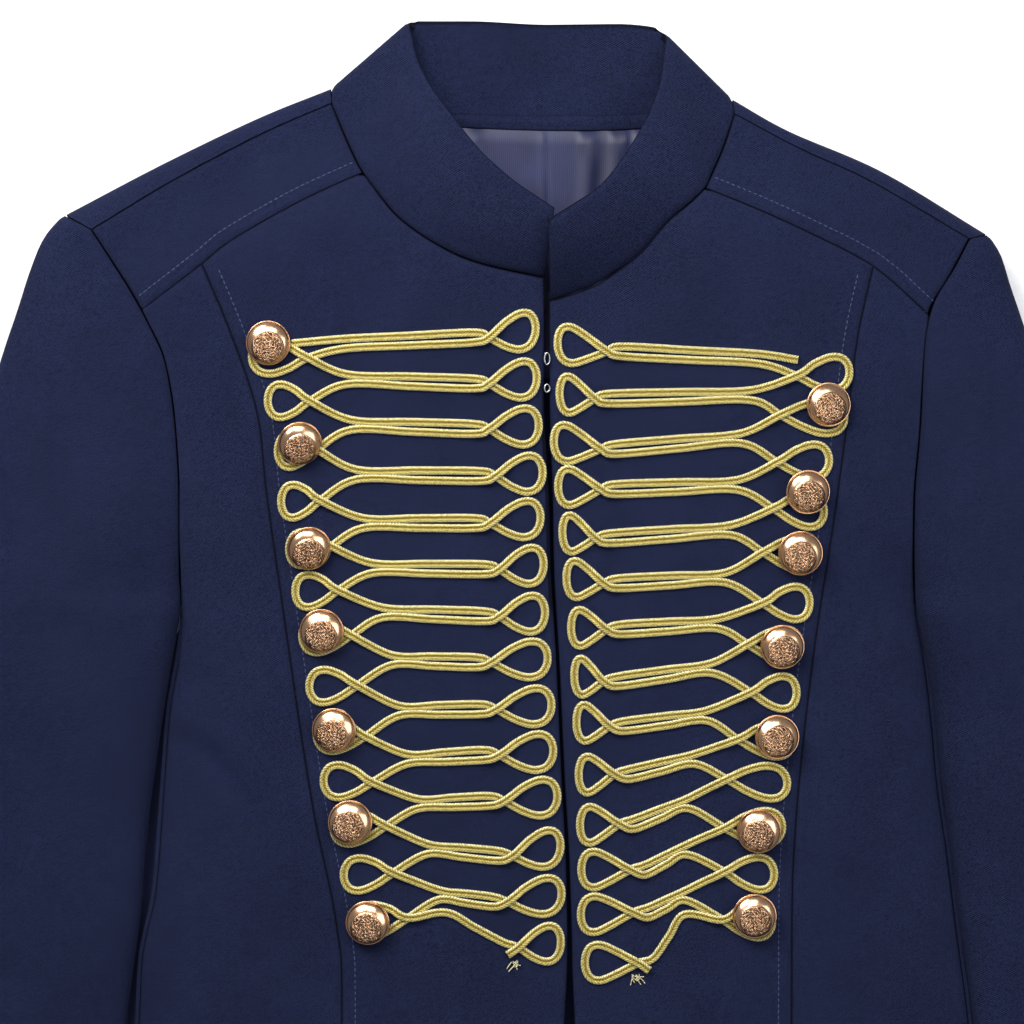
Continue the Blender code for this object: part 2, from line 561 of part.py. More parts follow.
def neck_linings(cloth, satin):
    """The facing strip under the back neck, and the back lining below it."""
    upper = smooth_line([(-64, 174.5), (-30, 171.6), (9, 170.6), (45, 171.6), (72, 173)], 8)
    middle = smooth_line([(-68, 169), (-30, 165.4), (9, 164.2), (45, 165.2), (76, 168)], 8)
    lower = np.linspace((-82, 60), (96, 60), 9)
    for name, top, bottom, rows, made in (("neck_facing", upper, middle, 2, cloth),
                                          ("lining_back", middle, lower, 6, satin)):
        grid = np.array([bottom + (top - bottom) * t for t in np.linspace(0, 1, rows)])
        grid = inset(grid)
        height = CLOTH_WALL + 0.4 + LINING_WALL
        points = [(x, y, height) for x, y in grid.reshape(-1, 2)]
        thicken(name, points, grid_faces(rows, 9, False), LINING_WALL, made)


def loop(crossing, tip_x, rise, half_height, fullness):
    """A braid loop that leaves and comes back to its crossing, from its lower side to its upper."""
    crossing = np.array(crossing)
    length = abs(tip_x - crossing[0]) - BRAID_WIDTH / 2
    way = math.copysign(1.0, tip_x - crossing[0])
    points = []
    for share in np.linspace(0, 1, 10)[1:-1]:
        along = length * math.sin(math.pi * share) ** fullness
        across = -half_height * math.sin(2 * math.pi * share) + rise * along / length
        points.append((crossing[0] + way * along, crossing[1] + across))
    return points


def braid_route(side, frogs, fullness):
    """The braid's plan route and its crossings: (point, first pass index, second pass index)."""
    sign = side["sign"]
    half = BRAID_SPACING / 2
    out = sign
    route, crossings = [], []
    merges = []
    for n, frog in enumerate(frogs):
        above = frogs[n - 1][4:6] if n else (frog[4], frog[1])
        below = frog[4:6] if n < len(frogs) - 1 else above
        middle_y = (above[1] + below[1]) / 2 if n else frog[1] - (frog[1] - frog[5]) * 0.3
        merges.append(((above[0] + below[0]) / 2 - out * 16.5, middle_y))
    for n, frog in enumerate(frogs):
        ix, iy, tip, rise, ox, oy, outer_tip, outer_rise = frog
        merge = merges[n]
        turn_in = (ix + out * 6.5, iy)
        if n == 0:
            route.append((ox - out * 3.0, merge[1] + half + 1.2))
        route.append((merge[0], merge[1] + half))
        route.append(((merge[0] + turn_in[0]) / 2, (merge[1] + turn_in[1]) / 2 + half))
        route.append((turn_in[0], turn_in[1] + half))
        first = len(route)
        route.append((ix, iy))
        route += loop((ix, iy), tip, rise, INNER_HALF_HEIGHT, fullness)
        crossings.append(((ix, iy), first, len(route)))
        route.append((ix, iy))
        if n == len(frogs) - 1:
            route.append((ix + out * 4.5, iy - half - 1.0))
            break
        route.append((turn_in[0], turn_in[1] - half))
        route.append(((merge[0] + turn_in[0]) / 2, (merge[1] + turn_in[1]) / 2 - half))
        route.append((merge[0], merge[1] - half))
        first = len(route)
        route.append((ox, oy))
        route += loop((ox, oy), outer_tip, outer_rise, OUTER_HALF_HEIGHT, 1.0)
        crossings.append(((ox, oy), first, len(route)))
        route.append((ox, oy))
    return np.array(route), crossings


def spline_through(points, per_span):
    """A Catmull-Rom curve with a fixed number of steps between one point and the next."""
    p = np.vstack([2 * points[0] - points[1], points, 2 * points[-1] - points[-2]])
    fine, index = [], []
    for n, (a, b, c, d) in enumerate(zip(p, p[1:], p[2:], p[3:])):
        steps = per_span(n)
        for t in np.linspace(0, 1, steps, endpoint=False):
            fine.append(0.5 * (2 * b + (c - a) * t + (2 * a - 5 * b + 4 * c - d) * t**2
                               + (3 * b - a - 3 * c + d) * t**3))
            index.append(n + t)
    return np.array(fine + [p[-2]]), np.array(index + [len(points) - 1.0])


def braid(side, word, frogs, fullness, gold):
    route, crossings = braid_route(side, frogs, fullness)
    plan, index = spline_through(route, lambda n: 1 if n else 2)
    lift = np.zeros(len(plan))
    for centre, first, second in crossings:
        away = np.linalg.norm(plan - np.array(centre), axis=1)
        ramp = np.clip((12.0 - away) / 5.5, 0, 1)
        near = np.abs(index - second) < np.abs(index - first)
        near &= np.abs(index - second) < 5.5
        lift = np.maximum(lift, np.where(near, ramp * ramp * (3 - 2 * ramp) * CROSSING_LIFT, 0.0))
    tangents = np.gradient(plan, axis=0)
    corners = []
    for (x, y), tangent, raised in zip(plan, tangents, lift):
        _, normal = on_front(x, y)
        along = np.array([tangent[0], tangent[1], 0.0])
        across = np.cross(normal, along / np.linalg.norm(along))
        across[2] = 0.0
        across /= np.linalg.norm(across)
        ring = []
        for reach, up in ((-1, 0.0), (1, 0.0), (1, BRAID_THICKNESS), (-1, BRAID_THICKNESS)):
            place = np.array([x, y]) + across[:2] * reach * BRAID_WIDTH / 2
            point, _ = on_front(place[0], place[1], BRAID_LIFT + raised + up)
            ring.append(point)
        corners += ring
    count = len(plan)
    faces = [(0, 3, 2, 1), tuple(4 * (count - 1) + k for k in (0, 1, 2, 3))]
    for i in range(count - 1):
        for k in range(4):
            n = (k + 1) % 4
            faces.append((4 * i + k, 4 * i + n, 4 * (i + 1) + n, 4 * (i + 1) + k))
    add(f"braid_{word}", corners, faces, gold)


def button(name, x, y, seat, shank, metal):
    """A domed button with a rolled rim, set square to the cloth, on a short shank or on the braid."""
    place, normal = on_front(x, y)
    foot = ((1.8, 0.5), (1.8, seat)) if shank else ()
    profile = (*foot, (BUTTON_RADIUS - 0.8, seat), (BUTTON_RADIUS, seat + 0.9),
               (BUTTON_RADIUS - 0.6, seat + 2.0),
               (BUTTON_RADIUS * 0.72, seat + BUTTON_HEIGHT * 0.78),
               (BUTTON_RADIUS * 0.36, seat + BUTTON_HEIGHT * 0.96))
    turns = 11
    tilt = Vector((0, 0, 1)).rotation_difference(Vector(normal)).to_matrix()
    points = []
    for radius, height in profile:
        for k in range(turns):
            angle = 2 * math.pi * k / turns
            local = tilt @ Vector((radius * math.cos(angle), radius * math.sin(angle), height))
            points.append(place + np.array(local))
    points.append(place + normal * (seat + BUTTON_HEIGHT))
    faces = [tuple(range(turns - 1, -1, -1))]
    for ring in range(len(profile) - 1):
        for k in range(turns):
            n = (k + 1) % turns
            faces.append((ring * turns + k, ring * turns + n, (ring + 1) * turns + n, (ring + 1) * turns + k))
    last = (len(profile) - 1) * turns
    faces += [(last + k, last + (k + 1) % turns, len(points) - 1) for k in range(turns)]
    add(name, points, faces, metal)


def hook(name, x, y, reach, steel):
    """A flat wire hook closed over its eye at the front edges."""
    ring_turns, wire_turns, wire = 10, 5, 0.4
    place, normal = on_front(x, y)
    points = []
    for i in range(ring_turns):
        angle = 2 * math.pi * i / ring_turns
        centre = np.array([1.1 * math.cos(angle), reach * math.sin(angle), 0.0])
        outward = np.array([math.cos(angle), math.sin(angle), 0.0])
        for k in range(wire_turns):
            turn = 2 * math.pi * k / wire_turns
            local = centre + outward * wire * math.cos(turn)
            points.append(place + np.array([local[0], local[1], 0.0])
                          + normal * (wire + 0.5 + wire * math.sin(turn)))
    faces = []
    for i in range(ring_turns):
        for k in range(wire_turns):
            i2, k2 = (i + 1) % ring_turns, (k + 1) % wire_turns
            faces.append((i * wire_turns + k, i2 * wire_turns + k, i2 * wire_turns + k2, i * wire_turns + k2))
    add(name, points, faces, steel)


def settle():
    """Moves every piece so that the origin is the bottom centre of the whole jacket."""
    corners = [v.co.copy() for thing in bpy.data.objects for v in thing.data.vertices]
    low = Vector([min(c[k] for c in corners) for k in range(3)])
    high = Vector([max(c[k] for c in corners) for k in range(3)])
    middle = Vector(((low.x + high.x) / 2, (low.y + high.y) / 2, low.z))
    for thing in bpy.data.objects:
        for v in thing.data.vertices:
            v.co -= middle


def main():
    for thing in list(bpy.data.objects):
        bpy.data.objects.remove(thing)
    cloth = material("navy_suiting", (0.028, 0.032, 0.062), 0.85)
    satin = material("blue_satin", (0.045, 0.042, 0.12), 0.4)
    gold = material("gold_braid", (0.40, 0.27, 0.09), 0.5, 0.3)
    metal = material("rose_gold_metal", (0.60, 0.38, 0.26), 0.3, 1.0)
    steel = material("hook_steel", (0.6, 0.6, 0.62), 0.3, 1.0)
    back_panels(cloth)
    for side, word in ((RIGHT, "right"), (LEFT, "left")):
        front_panels(side, word, cloth)
        sleeves(side, word, cloth)
        for n, (x, y) in enumerate(BUTTONS[side["sign"]], 1):
            seat = FIRST_BUTTON_SEAT if n == 1 else BUTTON_SEAT
            button(f"button_{word}_{n}", x, y, seat, n > 2, metal)
    collar(cloth)
    neck_linings(cloth, satin)
    braid(RIGHT, "right", RIGHT_FROGS, 1.0, gold)
    braid(LEFT, "left", LEFT_FROGS, 0.8, gold)
    for n, (x, y, reach) in enumerate(HOOKS, 1):
        hook(f"hook_{n}", x, y, reach, steel)
    settle()


main()
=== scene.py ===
import math
import bpy
import numpy as np
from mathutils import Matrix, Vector


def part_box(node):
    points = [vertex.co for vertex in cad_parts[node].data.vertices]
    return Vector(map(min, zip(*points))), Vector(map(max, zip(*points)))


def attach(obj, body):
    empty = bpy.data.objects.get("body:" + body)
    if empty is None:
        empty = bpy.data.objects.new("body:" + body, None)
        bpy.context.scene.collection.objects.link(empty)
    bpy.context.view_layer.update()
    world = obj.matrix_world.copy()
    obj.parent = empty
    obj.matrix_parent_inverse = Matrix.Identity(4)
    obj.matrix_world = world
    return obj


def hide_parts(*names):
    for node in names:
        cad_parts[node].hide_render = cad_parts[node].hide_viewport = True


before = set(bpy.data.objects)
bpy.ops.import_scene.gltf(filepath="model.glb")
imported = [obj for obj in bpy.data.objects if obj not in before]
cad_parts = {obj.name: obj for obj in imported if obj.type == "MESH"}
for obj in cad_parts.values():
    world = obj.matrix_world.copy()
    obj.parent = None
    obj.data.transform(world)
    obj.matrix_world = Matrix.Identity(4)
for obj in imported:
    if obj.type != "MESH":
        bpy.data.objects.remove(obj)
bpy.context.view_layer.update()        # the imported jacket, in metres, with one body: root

# Plans are drawn in millimetres as the jacket lies: x to the right of the view, y towards the
# collar, z up from the surface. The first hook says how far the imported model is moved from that.
hookLow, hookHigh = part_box("hook_1")
planMove = ((hookLow[0] + hookHigh[0]) * 500 - 10.2, (hookLow[1] + hookHigh[1]) * 500 - 68.0)

jacket = {
    "hemY": -400.0,
    "underarmY": -43.0,
    "wall": 1.6,            # cloth with its fusing, in millimetres
    "collarWall": 2.6,
    "liningWall": 0.9,
    "seamGap": 0.1,         # from a piece's edge to its seam line
    "seamDip": 0.75,        # how deep the cloth rolls into a seam
    "seamReach": 1.5,
    "gridStep": 4.0,        # distance between a shell's rows
    "sideSpread": 11.0,     # how far the back lies out beside its side fold
    "crownHeights": ((-400, 12), (-300, 13.5), (-200, 16), (-100, 19), (0, 22), (60, 24), (110, 25)),
    "edgeHeights": ((-400, 5.5), (-230, 6.5), (-100, 8), (-43, 9), (-15, 15), (20, 18), (80, 20), (130, 21)),
    "edgePowers": ((-400, 0.5), (-60, 0.5), (0, 0.95), (130, 1.0)),
    "shoulderBlend": 60.0,
    # y, x of the front seam line and the gap on each side of it
    "centreFront": ((-400, 23.0, 7.0), (-228, 20.3, 2.2), (-200, 20.4, 1.0), (-160, 19.6, 0.7),
                    (-118, 17.4, 0.6), (-66, 15.0, 0.6), (-23, 12.5, 0.7), (2, 12.0, 0.8), (54, 10.0, 1.3),
                    (104, 10.0, 1.2)),
    "backNeck": ((-79, 181), (-60, 177), (-30, 174.6), (9, 173.6), (45, 174.6), (70, 176), (88, 177)),
}
right = {
    "word": "Right", "sign": -1, "yokeCorner": 3,
    # silhouette x, y, seam x, y and the height of the roll
    "shoulder": ((-86.8, 190, -86.3, 183.0, 13), (-119.3, 176.7, -114.8, 170.4, 15),
                 (-161.5, 156.2, -154.0, 149.5, 18), (-205.1, 133.1, -192.5, 125.8, 21)),
    "neckline": ((-86.3, 183.0), (-81.4, 170.9), (-76.1, 158.9), (-72.1, 151.3), (-56.5, 131.3),
                 (-36.9, 117.5), (-18.7, 109.9), (9.2, 103.7)),
    "yokeSeam": ((-72.1, 151.3), (-100.6, 138), (-130.8, 120.6), (-143.3, 110.4), (-169.5, 90.3)),
    "edge": ((-400, -189.6), (-228, -172.7), (-202, -171.5), (-169, -165), (-125, -161.5), (-89, -158.7),
             (-64, -154.6), (-43, -153.6), (7, -153.5), (41, -155.3), (68, -159.8), (84, -166.9),
             (97, -174), (126, -192.5)),
    "princess": ((-143.3, 110.4), (-130.8, 80.5), (-118.8, 44.5), (-114.4, 6.7), (-105.9, -53.8),
                 (-94.8, -128.6), (-83.7, -184.7), (-81.4, -228), (-84.1, -400)),
    "sleeveInner": ((-457, -203.4), (-400, -197), (-228, -178.5), (-190, -172.9), (-140, -168.6),
                    (-87, -161.0), (-62, -157.4), (-43, -155.2)),
    "sleeveOuter": ((-206.0, 133.0), (-214.9, 122.4), (-221.2, 107.2), (-227, 88.6), (-233.2, 69.4),
                    (-245.6, 27.6), (-257.7, -21.4), (-268.8, -83.7), (-279.9, -150.4), (-291, -228),
                    (-301, -340), (-308.4, -457.5)),
    "hemInner": -88.0,
}
left = {
    "word": "Left", "sign": 1, "yokeCorner": 2,
    "shoulder": ((93.9, 185.1, 94.3, 178.4, 13), (118.8, 170.9, 123.7, 162.4, 15),
                 (160.5, 152.5, 155.3, 147.3, 18), (206.9, 124.2, 198, 121.8, 21)),
    "neckline": ((94.3, 178.4), (89, 162.4), (81, 144.4), (74, 137.5), (63.6, 128.6), (51.6, 114.5),
                 (36, 103.2), (27.6, 98.8), (11.5, 93.5)),
    "yokeSeam": ((81, 144.4), (107.2, 133.5), (126.4, 124.6), (155.3, 109.5), (179.8, 88.1)),
    "edge": ((-400, 214.5), (-228, 199.4), (-184, 193.6), (-152, 189.6), (-121, 185.1), (-96, 182.9),
             (-64, 178.9), (-43, 175.4), (-17, 173.6), (2, 173.6), (39, 176.2), (69, 177.6),
             (88, 179.8), (105, 189.1), (122, 198)),
    "princess": ((155.3, 109.5), (148.2, 76.5), (142.8, 32), (137.1, -10.7), (127.7, -74.8),
                 (120.6, -150.4), (119.7, -228), (119.7, -400)),
    "sleeveInner": ((-457, 222), (-400, 217.5), (-228, 201.6), (-184, 195.4), (-152, 191.4),
                    (-121, 186.9), (-96, 184.7), (-64, 180.7), (-43, 176.8)),
    "sleeveOuter": ((207.6, 124.0), (213.4, 114.5), (217.6, 101), (222.5, 86.3), (229, 66),
                    (243, 25), (257, -24), (270, -86), (283, -152), (296, -228), (311, -340),
                    (326, -457.5)),
    "hemInner": 112.0,
}


def glide(table, x, column=1):
    # a smooth value between a table's rows that never overshoots them
    rows = np.array(sorted(table), float)
    xs, ys = rows[:, 0], rows[:, column]
    step = np.diff(xs)
    slope = np.diff(ys) / step
    both = slope[:-1] * slope[1:]
    middle = np.where(both > 0, 2 * both / np.where(both > 0, slope[:-1] + slope[1:], 1.0), 0.0)
    tangent = np.concatenate([slope[:1], middle, slope[-1:]])
    x = np.clip(np.asarray(x, float), xs[0], xs[-1])
    i = np.clip(np.searchsorted(xs, x, "right") - 1, 0, len(xs) - 2)
    t = (x - xs[i]) / step[i]
    start = (1 + 2 * t) * (1 - t) ** 2 * ys[i] + t * (1 - t) ** 2 * step[i] * tangent[i]
    return start + t * t * (3 - 2 * t) * ys[i + 1] + t * t * (t - 1) * step[i] * tangent[i + 1]


def splineThrough(points, steps):
    # a Catmull-Rom curve with a fixed number of steps between its points, and each step's index
    p = np.array(points, float)
    p = np.vstack([2 * p[0] - p[1], p, 2 * p[-1] - p[-2]])
    t = np.linspace(0, 1, steps, endpoint=False)[:, None]
    runs = [0.5 * (2 * b + (c - a) * t + (2 * a - 5 * b + 4 * c - d) * t**2 + (3 * b - a - 3 * c + d) * t**3)
            for a, b, c, d in zip(p, p[1:], p[2:], p[3:])]
    index = np.arange(len(runs) * steps + 1) / steps
    return np.vstack(runs + [p[-2:-1]]), index


def alongLine(points, shares):
    # points of the curve at these shares of its length
    fine, _ = splineThrough(points, 24)
    along = np.concatenate([[0], np.cumsum(np.linalg.norm(np.diff(fine, axis=0), axis=1))])
    at = np.asarray(shares) * along[-1]
    return np.stack([np.interp(at, along, fine[:, k]) for k in range(fine.shape[1])], axis=1)


def smoothLine(points, count):
    return alongLine(points, np.linspace(0, 1, count + 1))


def seamShares(length, step):
    # shares of a length, closer together beside the seams at its two ends
    near = np.array([0, 0.45, 1.1, 2.0, 3.2, 5.0])
    inside = np.linspace(7.5, length - 7.5, max(2, round((length - 15) / step) + 1))
    return np.concatenate([near, inside, length - near[::-1]]) / length


def edgeX(side, y):
    return glide(side["edge"], y)


def frontHeight(x, y):
    # height of the front's outer face, without its creases
    x, y = np.broadcast_arrays(np.asarray(x, float), np.asarray(y, float))
    centre = glide(jacket["centreFront"], y)
    rim = glide(jacket["edgeHeights"], y)
    crown = glide(jacket["crownHeights"], y)
    power = glide(jacket["edgePowers"], y)
    height = np.zeros(x.shape)
    for side, here in ((right, x < centre), (left, x >= centre)):
        outward = np.minimum(np.abs(x - centre) / np.abs(edgeX(side, y) - centre), 1.0)
        chest = rim + (crown - rim) * (1 - outward**3) ** power
        seam = [(row[2], row[3], row[4]) for row in side["shoulder"]]
        below = np.clip((glide(seam, x) - y) / jacket["shoulderBlend"], 0.0, 1.0)
        roll = glide(seam, x, 2)
        height = np.where(here, roll + (chest - roll) * below * below * (3 - 2 * below), height)
    return height


# Creases, each with the line it follows, its half width and its height, in millimetres. Those that
# the photograph shows come first, then the ones on the parts that it doesn't show.
frontCreases = (
    {"line": ((-159, -101), (-152.6, -104.6), (-140.2, -109.5), (-126.4, -129.5), (-120, -146)), "width": 5.5, "lift": -1.5},
    {"line": ((-157, -92), (-146, -97), (-131, -108), (-118, -128)), "width": 6.0, "lift": 1.0},
    {"line": ((-131.7, 62), (-131.7, 40), (-131.4, 18)), "width": 3.2, "lift": -0.6},
    {"line": ((-114, -40), (-112.6, -51.6), (-107, -76), (-101, -104)), "width": 4.0, "lift": 0.8},
    {"line": ((160, 72), (161, 64), (165, 45), (167, 20)), "width": 5.0, "lift": 1.0},
    {"line": ((150, -120), (158, -150), (163, -200), (161, -240)), "width": 11.0, "lift": -0.9},
    {"line": ((-150, -150), (-142, -190), (-138, -240), (-142, -290)), "width": 10.0, "lift": -1.0},
    {"line": ((60, 78), (84, 84), (108, 80)), "width": 12.0, "lift": 0.5},
    {"line": ((-60, -240), (-58, -300), (-64, -372)), "width": 13.0, "lift": -1.4},
    {"line": ((74, -236), (80, -300), (84, -380)), "width": 14.0, "lift": -1.3},
    {"line": ((150, -262), (120, -276), (84, -280)), "width": 6.0, "lift": -1.0},
    {"line": ((-152, -250), (-126, -262), (-98, -262)), "width": 6.0, "lift": -1.0},
)
sleeveCreases = (
    {"line": ((-199, 44), (-200.7, 30), (-200.7, -48), (-195.4, -64), (-191.8, -165), (-196, -230)), "width": 5.2, "lift": -1.7},
    {"line": ((-186, 26), (-187, -20), (-183, -60), (-178, -110)), "width": 6.0, "lift": 1.1},
    {"line": ((201, 64), (202.9, 52), (202.9, -48), (204.3, -80), (205, -125)), "width": 5.2, "lift": -1.6},
    {"line": ((188, 40), (189, -10), (191, -70)), "width": 6.0, "lift": 1.0},
    {"line": ((-276, -190), (-252, -204), (-224, -206)), "width": 7.0, "lift": -1.8},
    {"line": ((-282, -226), (-256, -236), (-222, -230)), "width": 7.0, "lift": -1.5},
    {"line": ((-200, -196), (-222, -222), (-246, -262)), "width": 8.0, "lift": 1.2},
    {"line": ((284, -186), (262, -202), (234, -204)), "width": 7.0, "lift": -1.7},
    {"line": ((292, -232), (268, -238), (236, -226)), "width": 7.0, "lift": -1.5},
    {"line": ((222, -196), (244, -228), (262, -270)), "width": 8.0, "lift": 1.1},
    {"line": ((-236, -330), (-240, -390), (-246, -440)), "width": 9.0, "lift": -1.2},
    {"line": ((256, -326), (262, -390), (268, -440)), "width": 9.0, "lift": -1.2},
)
backCreases = (  # these rise from the surface, since the back lies flat
    {"line": ((-70, 120), (-20, 112), (34, 118), (86, 124)), "width": 9.0, "lift": -1.0},
    {"line": ((-64, -190), (-20, -204), (40, -202), (92, -188)), "width": 10.0, "lift": -1.1},
    {"line": ((-30, -60), (-34, -130), (-44, -190)), "width": 8.0, "lift": -0.9},
    {"line": ((62, -50), (66, -120), (78, -180)), "width": 8.0, "lift": -0.9},
    {"line": ((-126, -20), (-118, -90), (-124, -160)), "width": 7.0, "lift": -0.9},
    {"line": ((150, -10), (142, -90), (150, -170)), "width": 7.0, "lift": -0.9},
)


def creaseLift(x, y, creases):
    # soft troughs and ridges: uneven along their length and steeper on one side
    x, y = np.broadcast_arrays(np.asarray(x, float), np.asarray(y, float))
    total = 0.16 * np.sin(x / 23.0 + y / 41.0) + 0.14 * np.sin(y / 29.0 - x / 37.0 + 1.3)
    for crease in creases:
        line, index = splineThrough(crease["line"], 6)
        best, side, share = np.full(x.shape, 1e9), np.zeros(x.shape), np.zeros(x.shape)
        for k in range(len(line) - 1):
            a, b = line[k], line[k + 1]
            run = b - a
            t = np.clip(((x - a[0]) * run[0] + (y - a[1]) * run[1]) / (run @ run), 0, 1)
            dx, dy = x - a[0] - t * run[0], y - a[1] - t * run[1]
            away = np.hypot(dx, dy)
            near = away < best
            best = np.where(near, away, best)
            side = np.where(near, np.sign(run[0] * dy - run[1] * dx), side)
            share = np.where(near, (index[k] + t / 6) / index[-1], share)
        width = crease["width"] * (1 + 0.25 * side) * (1 + 0.18 * np.sin(9 * share + crease["width"]))
        fade = np.sin(math.pi * np.clip(share, 0.0, 1.0)) ** 0.7
        total = total + crease["lift"] * fade * np.exp(-(best / width) ** 2) * (1 + 0.15 * np.sin(14 * share))
    return total


def onCloth(x, y, lift):
    # points this far above the front's cloth, and the cloth's outward direction there
    def height(px, py):
        return frontHeight(px, py) + creaseLift(px, py, frontCreases)
    step = 0.8
    slopeX = (height(x + step, y) - height(x - step, y)) / (2 * step)
    slopeY = (height(x, y + step) - height(x, y - step)) / (2 * step)
    normal = np.stack([-slopeX, -slopeY, np.ones_like(slopeX)], axis=-1)
    normal /= np.linalg.norm(normal, axis=-1, keepdims=True)
    place = np.stack([x, y, height(x, y)], axis=-1)
    return place + normal * np.asarray(lift)[..., None], normal


# Materials

def toLinear(code):
    # an sRGB hex value as the linear colour that Blender works in
    parts = [int(code[i:i + 2], 16) / 255 for i in (1, 3, 5)]
    return (*(c / 12.92 if c <= 0.04045 else ((c + 0.055) / 1.055) ** 2.4 for c in parts), 1.0)


def addNode(tree, kind, settings=None, links=None, stops=()):
    # one node with its settings and links; a link's key is the input it feeds, a stop is a place on a colour ramp
    node = tree.nodes.new(kind)
    for key, value in (settings or {}).items():
        if isinstance(key, int) or key in node.inputs:
            node.inputs[key].default_value = value
        else:
            setattr(node, key, value)
    for key, source in (links or {}).items():
        tree.links.new(source, node.inputs[key])
    for number, (place, colour) in enumerate(stops):
        ends = node.color_ramp.elements
        stop = ends[number] if number < 2 else ends.new(place)
        stop.position, stop.color = place, toLinear(colour)
    return node


def startMaterial(name):
    made = bpy.data.materials.new(name)
    made.use_nodes = True
    tree = made.node_tree
    shader = tree.nodes["Principled BSDF"]
    return made, tree, shader


suiting = {
    # the third colour is painted shade at the seams; shade and light are the twill's own yarn colours
    "shade": "#080A16", "light": "#232947", "seamShadeColour": "#0B0D1A",
    "threadMm": 0.85,       # the real twill is near 0.4 mm; drawn twice as coarse so that it shows
    "roughness": 0.92, "sheen": 0.012, "bump": 0.16,
}


def makeSuiting():
    # fine twill suiting, wool with polyester: matt, a faint diagonal rib and a soft bloom at grazing angles
    made, tree, shader = startMaterial("navyTwillSuiting")
    place = addNode(tree, "ShaderNodeTexCoord").outputs["Object"]
    ribs = addNode(tree, "ShaderNodeMapping", {"Rotation": (0, 0, math.radians(58))}, {"Vector": place})
    rib = addNode(tree, "ShaderNodeTexWave", {
        "wave_type": "BANDS", "bands_direction": "X", "Scale": 314.16 / suiting["threadMm"],
        "Distortion": 2.2, "Detail": 1.0, "Detail Scale": 3.0}, {"Vector": ribs.outputs["Vector"]})
    slub = addNode(tree, "ShaderNodeTexNoise", {"Scale": 900.0, "Detail": 3.0, "Roughness": 0.7}, {"Vector": place})
    patch = addNode(tree, "ShaderNodeTexNoise", {"Scale": 26.0, "Detail": 4.0, "Roughness": 0.6}, {"Vector": place})
    yarn = addNode(tree, "ShaderNodeMath", {"operation": "MULTIPLY_ADD", 1: 0.5},
                   {0: rib.outputs["Fac"], 2: slub.outputs["Fac"]})
    base = addNode(tree, "ShaderNodeValToRGB", {}, {"Fac": yarn.outputs[0]}, ((0.4, suiting["shade"]), (1.1, suiting["light"])))
    soft = addNode(tree, "ShaderNodeMapRange", {"From Min": 0.3, "From Max": 0.7, "To Min": 0.9, "To Max": 1.1},
                   {"Value": patch.outputs["Fac"]})
    mottled = addNode(tree, "ShaderNodeMixRGB", {"blend_type": "MULTIPLY", "Fac": 1.0},
                      {1: base.outputs["Color"], 2: soft.outputs["Result"]})
    # painted shade: the cloth's colour darkens close to its seams, where they roll in
    seam = addNode(tree, "ShaderNodeAttribute", {"attribute_name": "seamShadeNear"})
    seamShade = addNode(tree, "ShaderNodeMath", {"operation": "POWER", 1: 7.0}, {0: seam.outputs["Fac"]})
    colour = addNode(tree, "ShaderNodeMixRGB", {"blend_type": "MIX", 2: toLinear(suiting["seamShadeColour"])},
                     {0: seamShade.outputs[0], 1: mottled.outputs["Color"]})
    bump = addNode(tree, "ShaderNodeBump", {"Strength": suiting["bump"], "Distance": 0.00025},
                   {"Height": yarn.outputs[0]})
    shader.inputs["Roughness"].default_value = suiting["roughness"]
    shader.inputs["Sheen Weight"].default_value = suiting["sheen"]
    shader.inputs["Sheen Roughness"].default_value = 0.45
    shader.inputs["Specular IOR Level"].default_value = 0.06
    tree.links.new(colour.outputs["Color"], shader.inputs["Base Color"])
    tree.links.new(bump.outputs["Normal"], shader.inputs["Normal"])
    return made


satin = {"shade": "#14172F", "light": "#2B2F58", "threadMm": 0.9, "roughness": 0.42}


def makeSatin():
    # blue violet acetate satin: smooth floats of thread that shine along the folds
    made, tree, shader = startMaterial("blueAcetateSatin")
    place = addNode(tree, "ShaderNodeTexCoord").outputs["Object"]
    floats = addNode(tree, "ShaderNodeTexWave", {
        "wave_type": "BANDS", "bands_direction": "X", "Scale": 314.16 / satin["threadMm"],
        "Distortion": 3.0, "Detail": 2.0}, {"Vector": place})
    cloud = addNode(tree, "ShaderNodeTexNoise", {"Scale": 35.0, "Detail": 3.0}, {"Vector": place})
    mixed = addNode(tree, "ShaderNodeMath", {"operation": "MULTIPLY_ADD", 1: 0.25},
                    {0: floats.outputs["Fac"], 2: cloud.outputs["Fac"]})
    colour = addNode(tree, "ShaderNodeValToRGB", {}, {"Fac": mixed.outputs[0]}, ((0.35, satin["shade"]), (0.9, satin["light"])))
    bump = addNode(tree, "ShaderNodeBump", {"Strength": 0.06, "Distance": 0.0002}, {"Height": floats.outputs["Fac"]})
    shader.inputs["Roughness"].default_value = satin["roughness"]
    shader.inputs["Sheen Weight"].default_value = 0.05
    shader.inputs["Specular IOR Level"].default_value = 0.3
    tree.links.new(colour.outputs["Color"], shader.inputs["Base Color"])
    tree.links.new(bump.outputs["Normal"], shader.inputs["Normal"])
    return made


gold = {
    # groove is painted shade between the cords, edge a painted highlight on their outer sides, shadow painted shade
    # between the wrapping threads
    "grooveShade": "#AE9A44", "thread": "#DCCB70", "edge": "#FFFAD2", "shadow": "#84773A",
    "strokeMm": 1.3,        # the wrapping thread's pitch along the braid
    "halfWidthMm": 1.85, "roughness": 0.4,
}


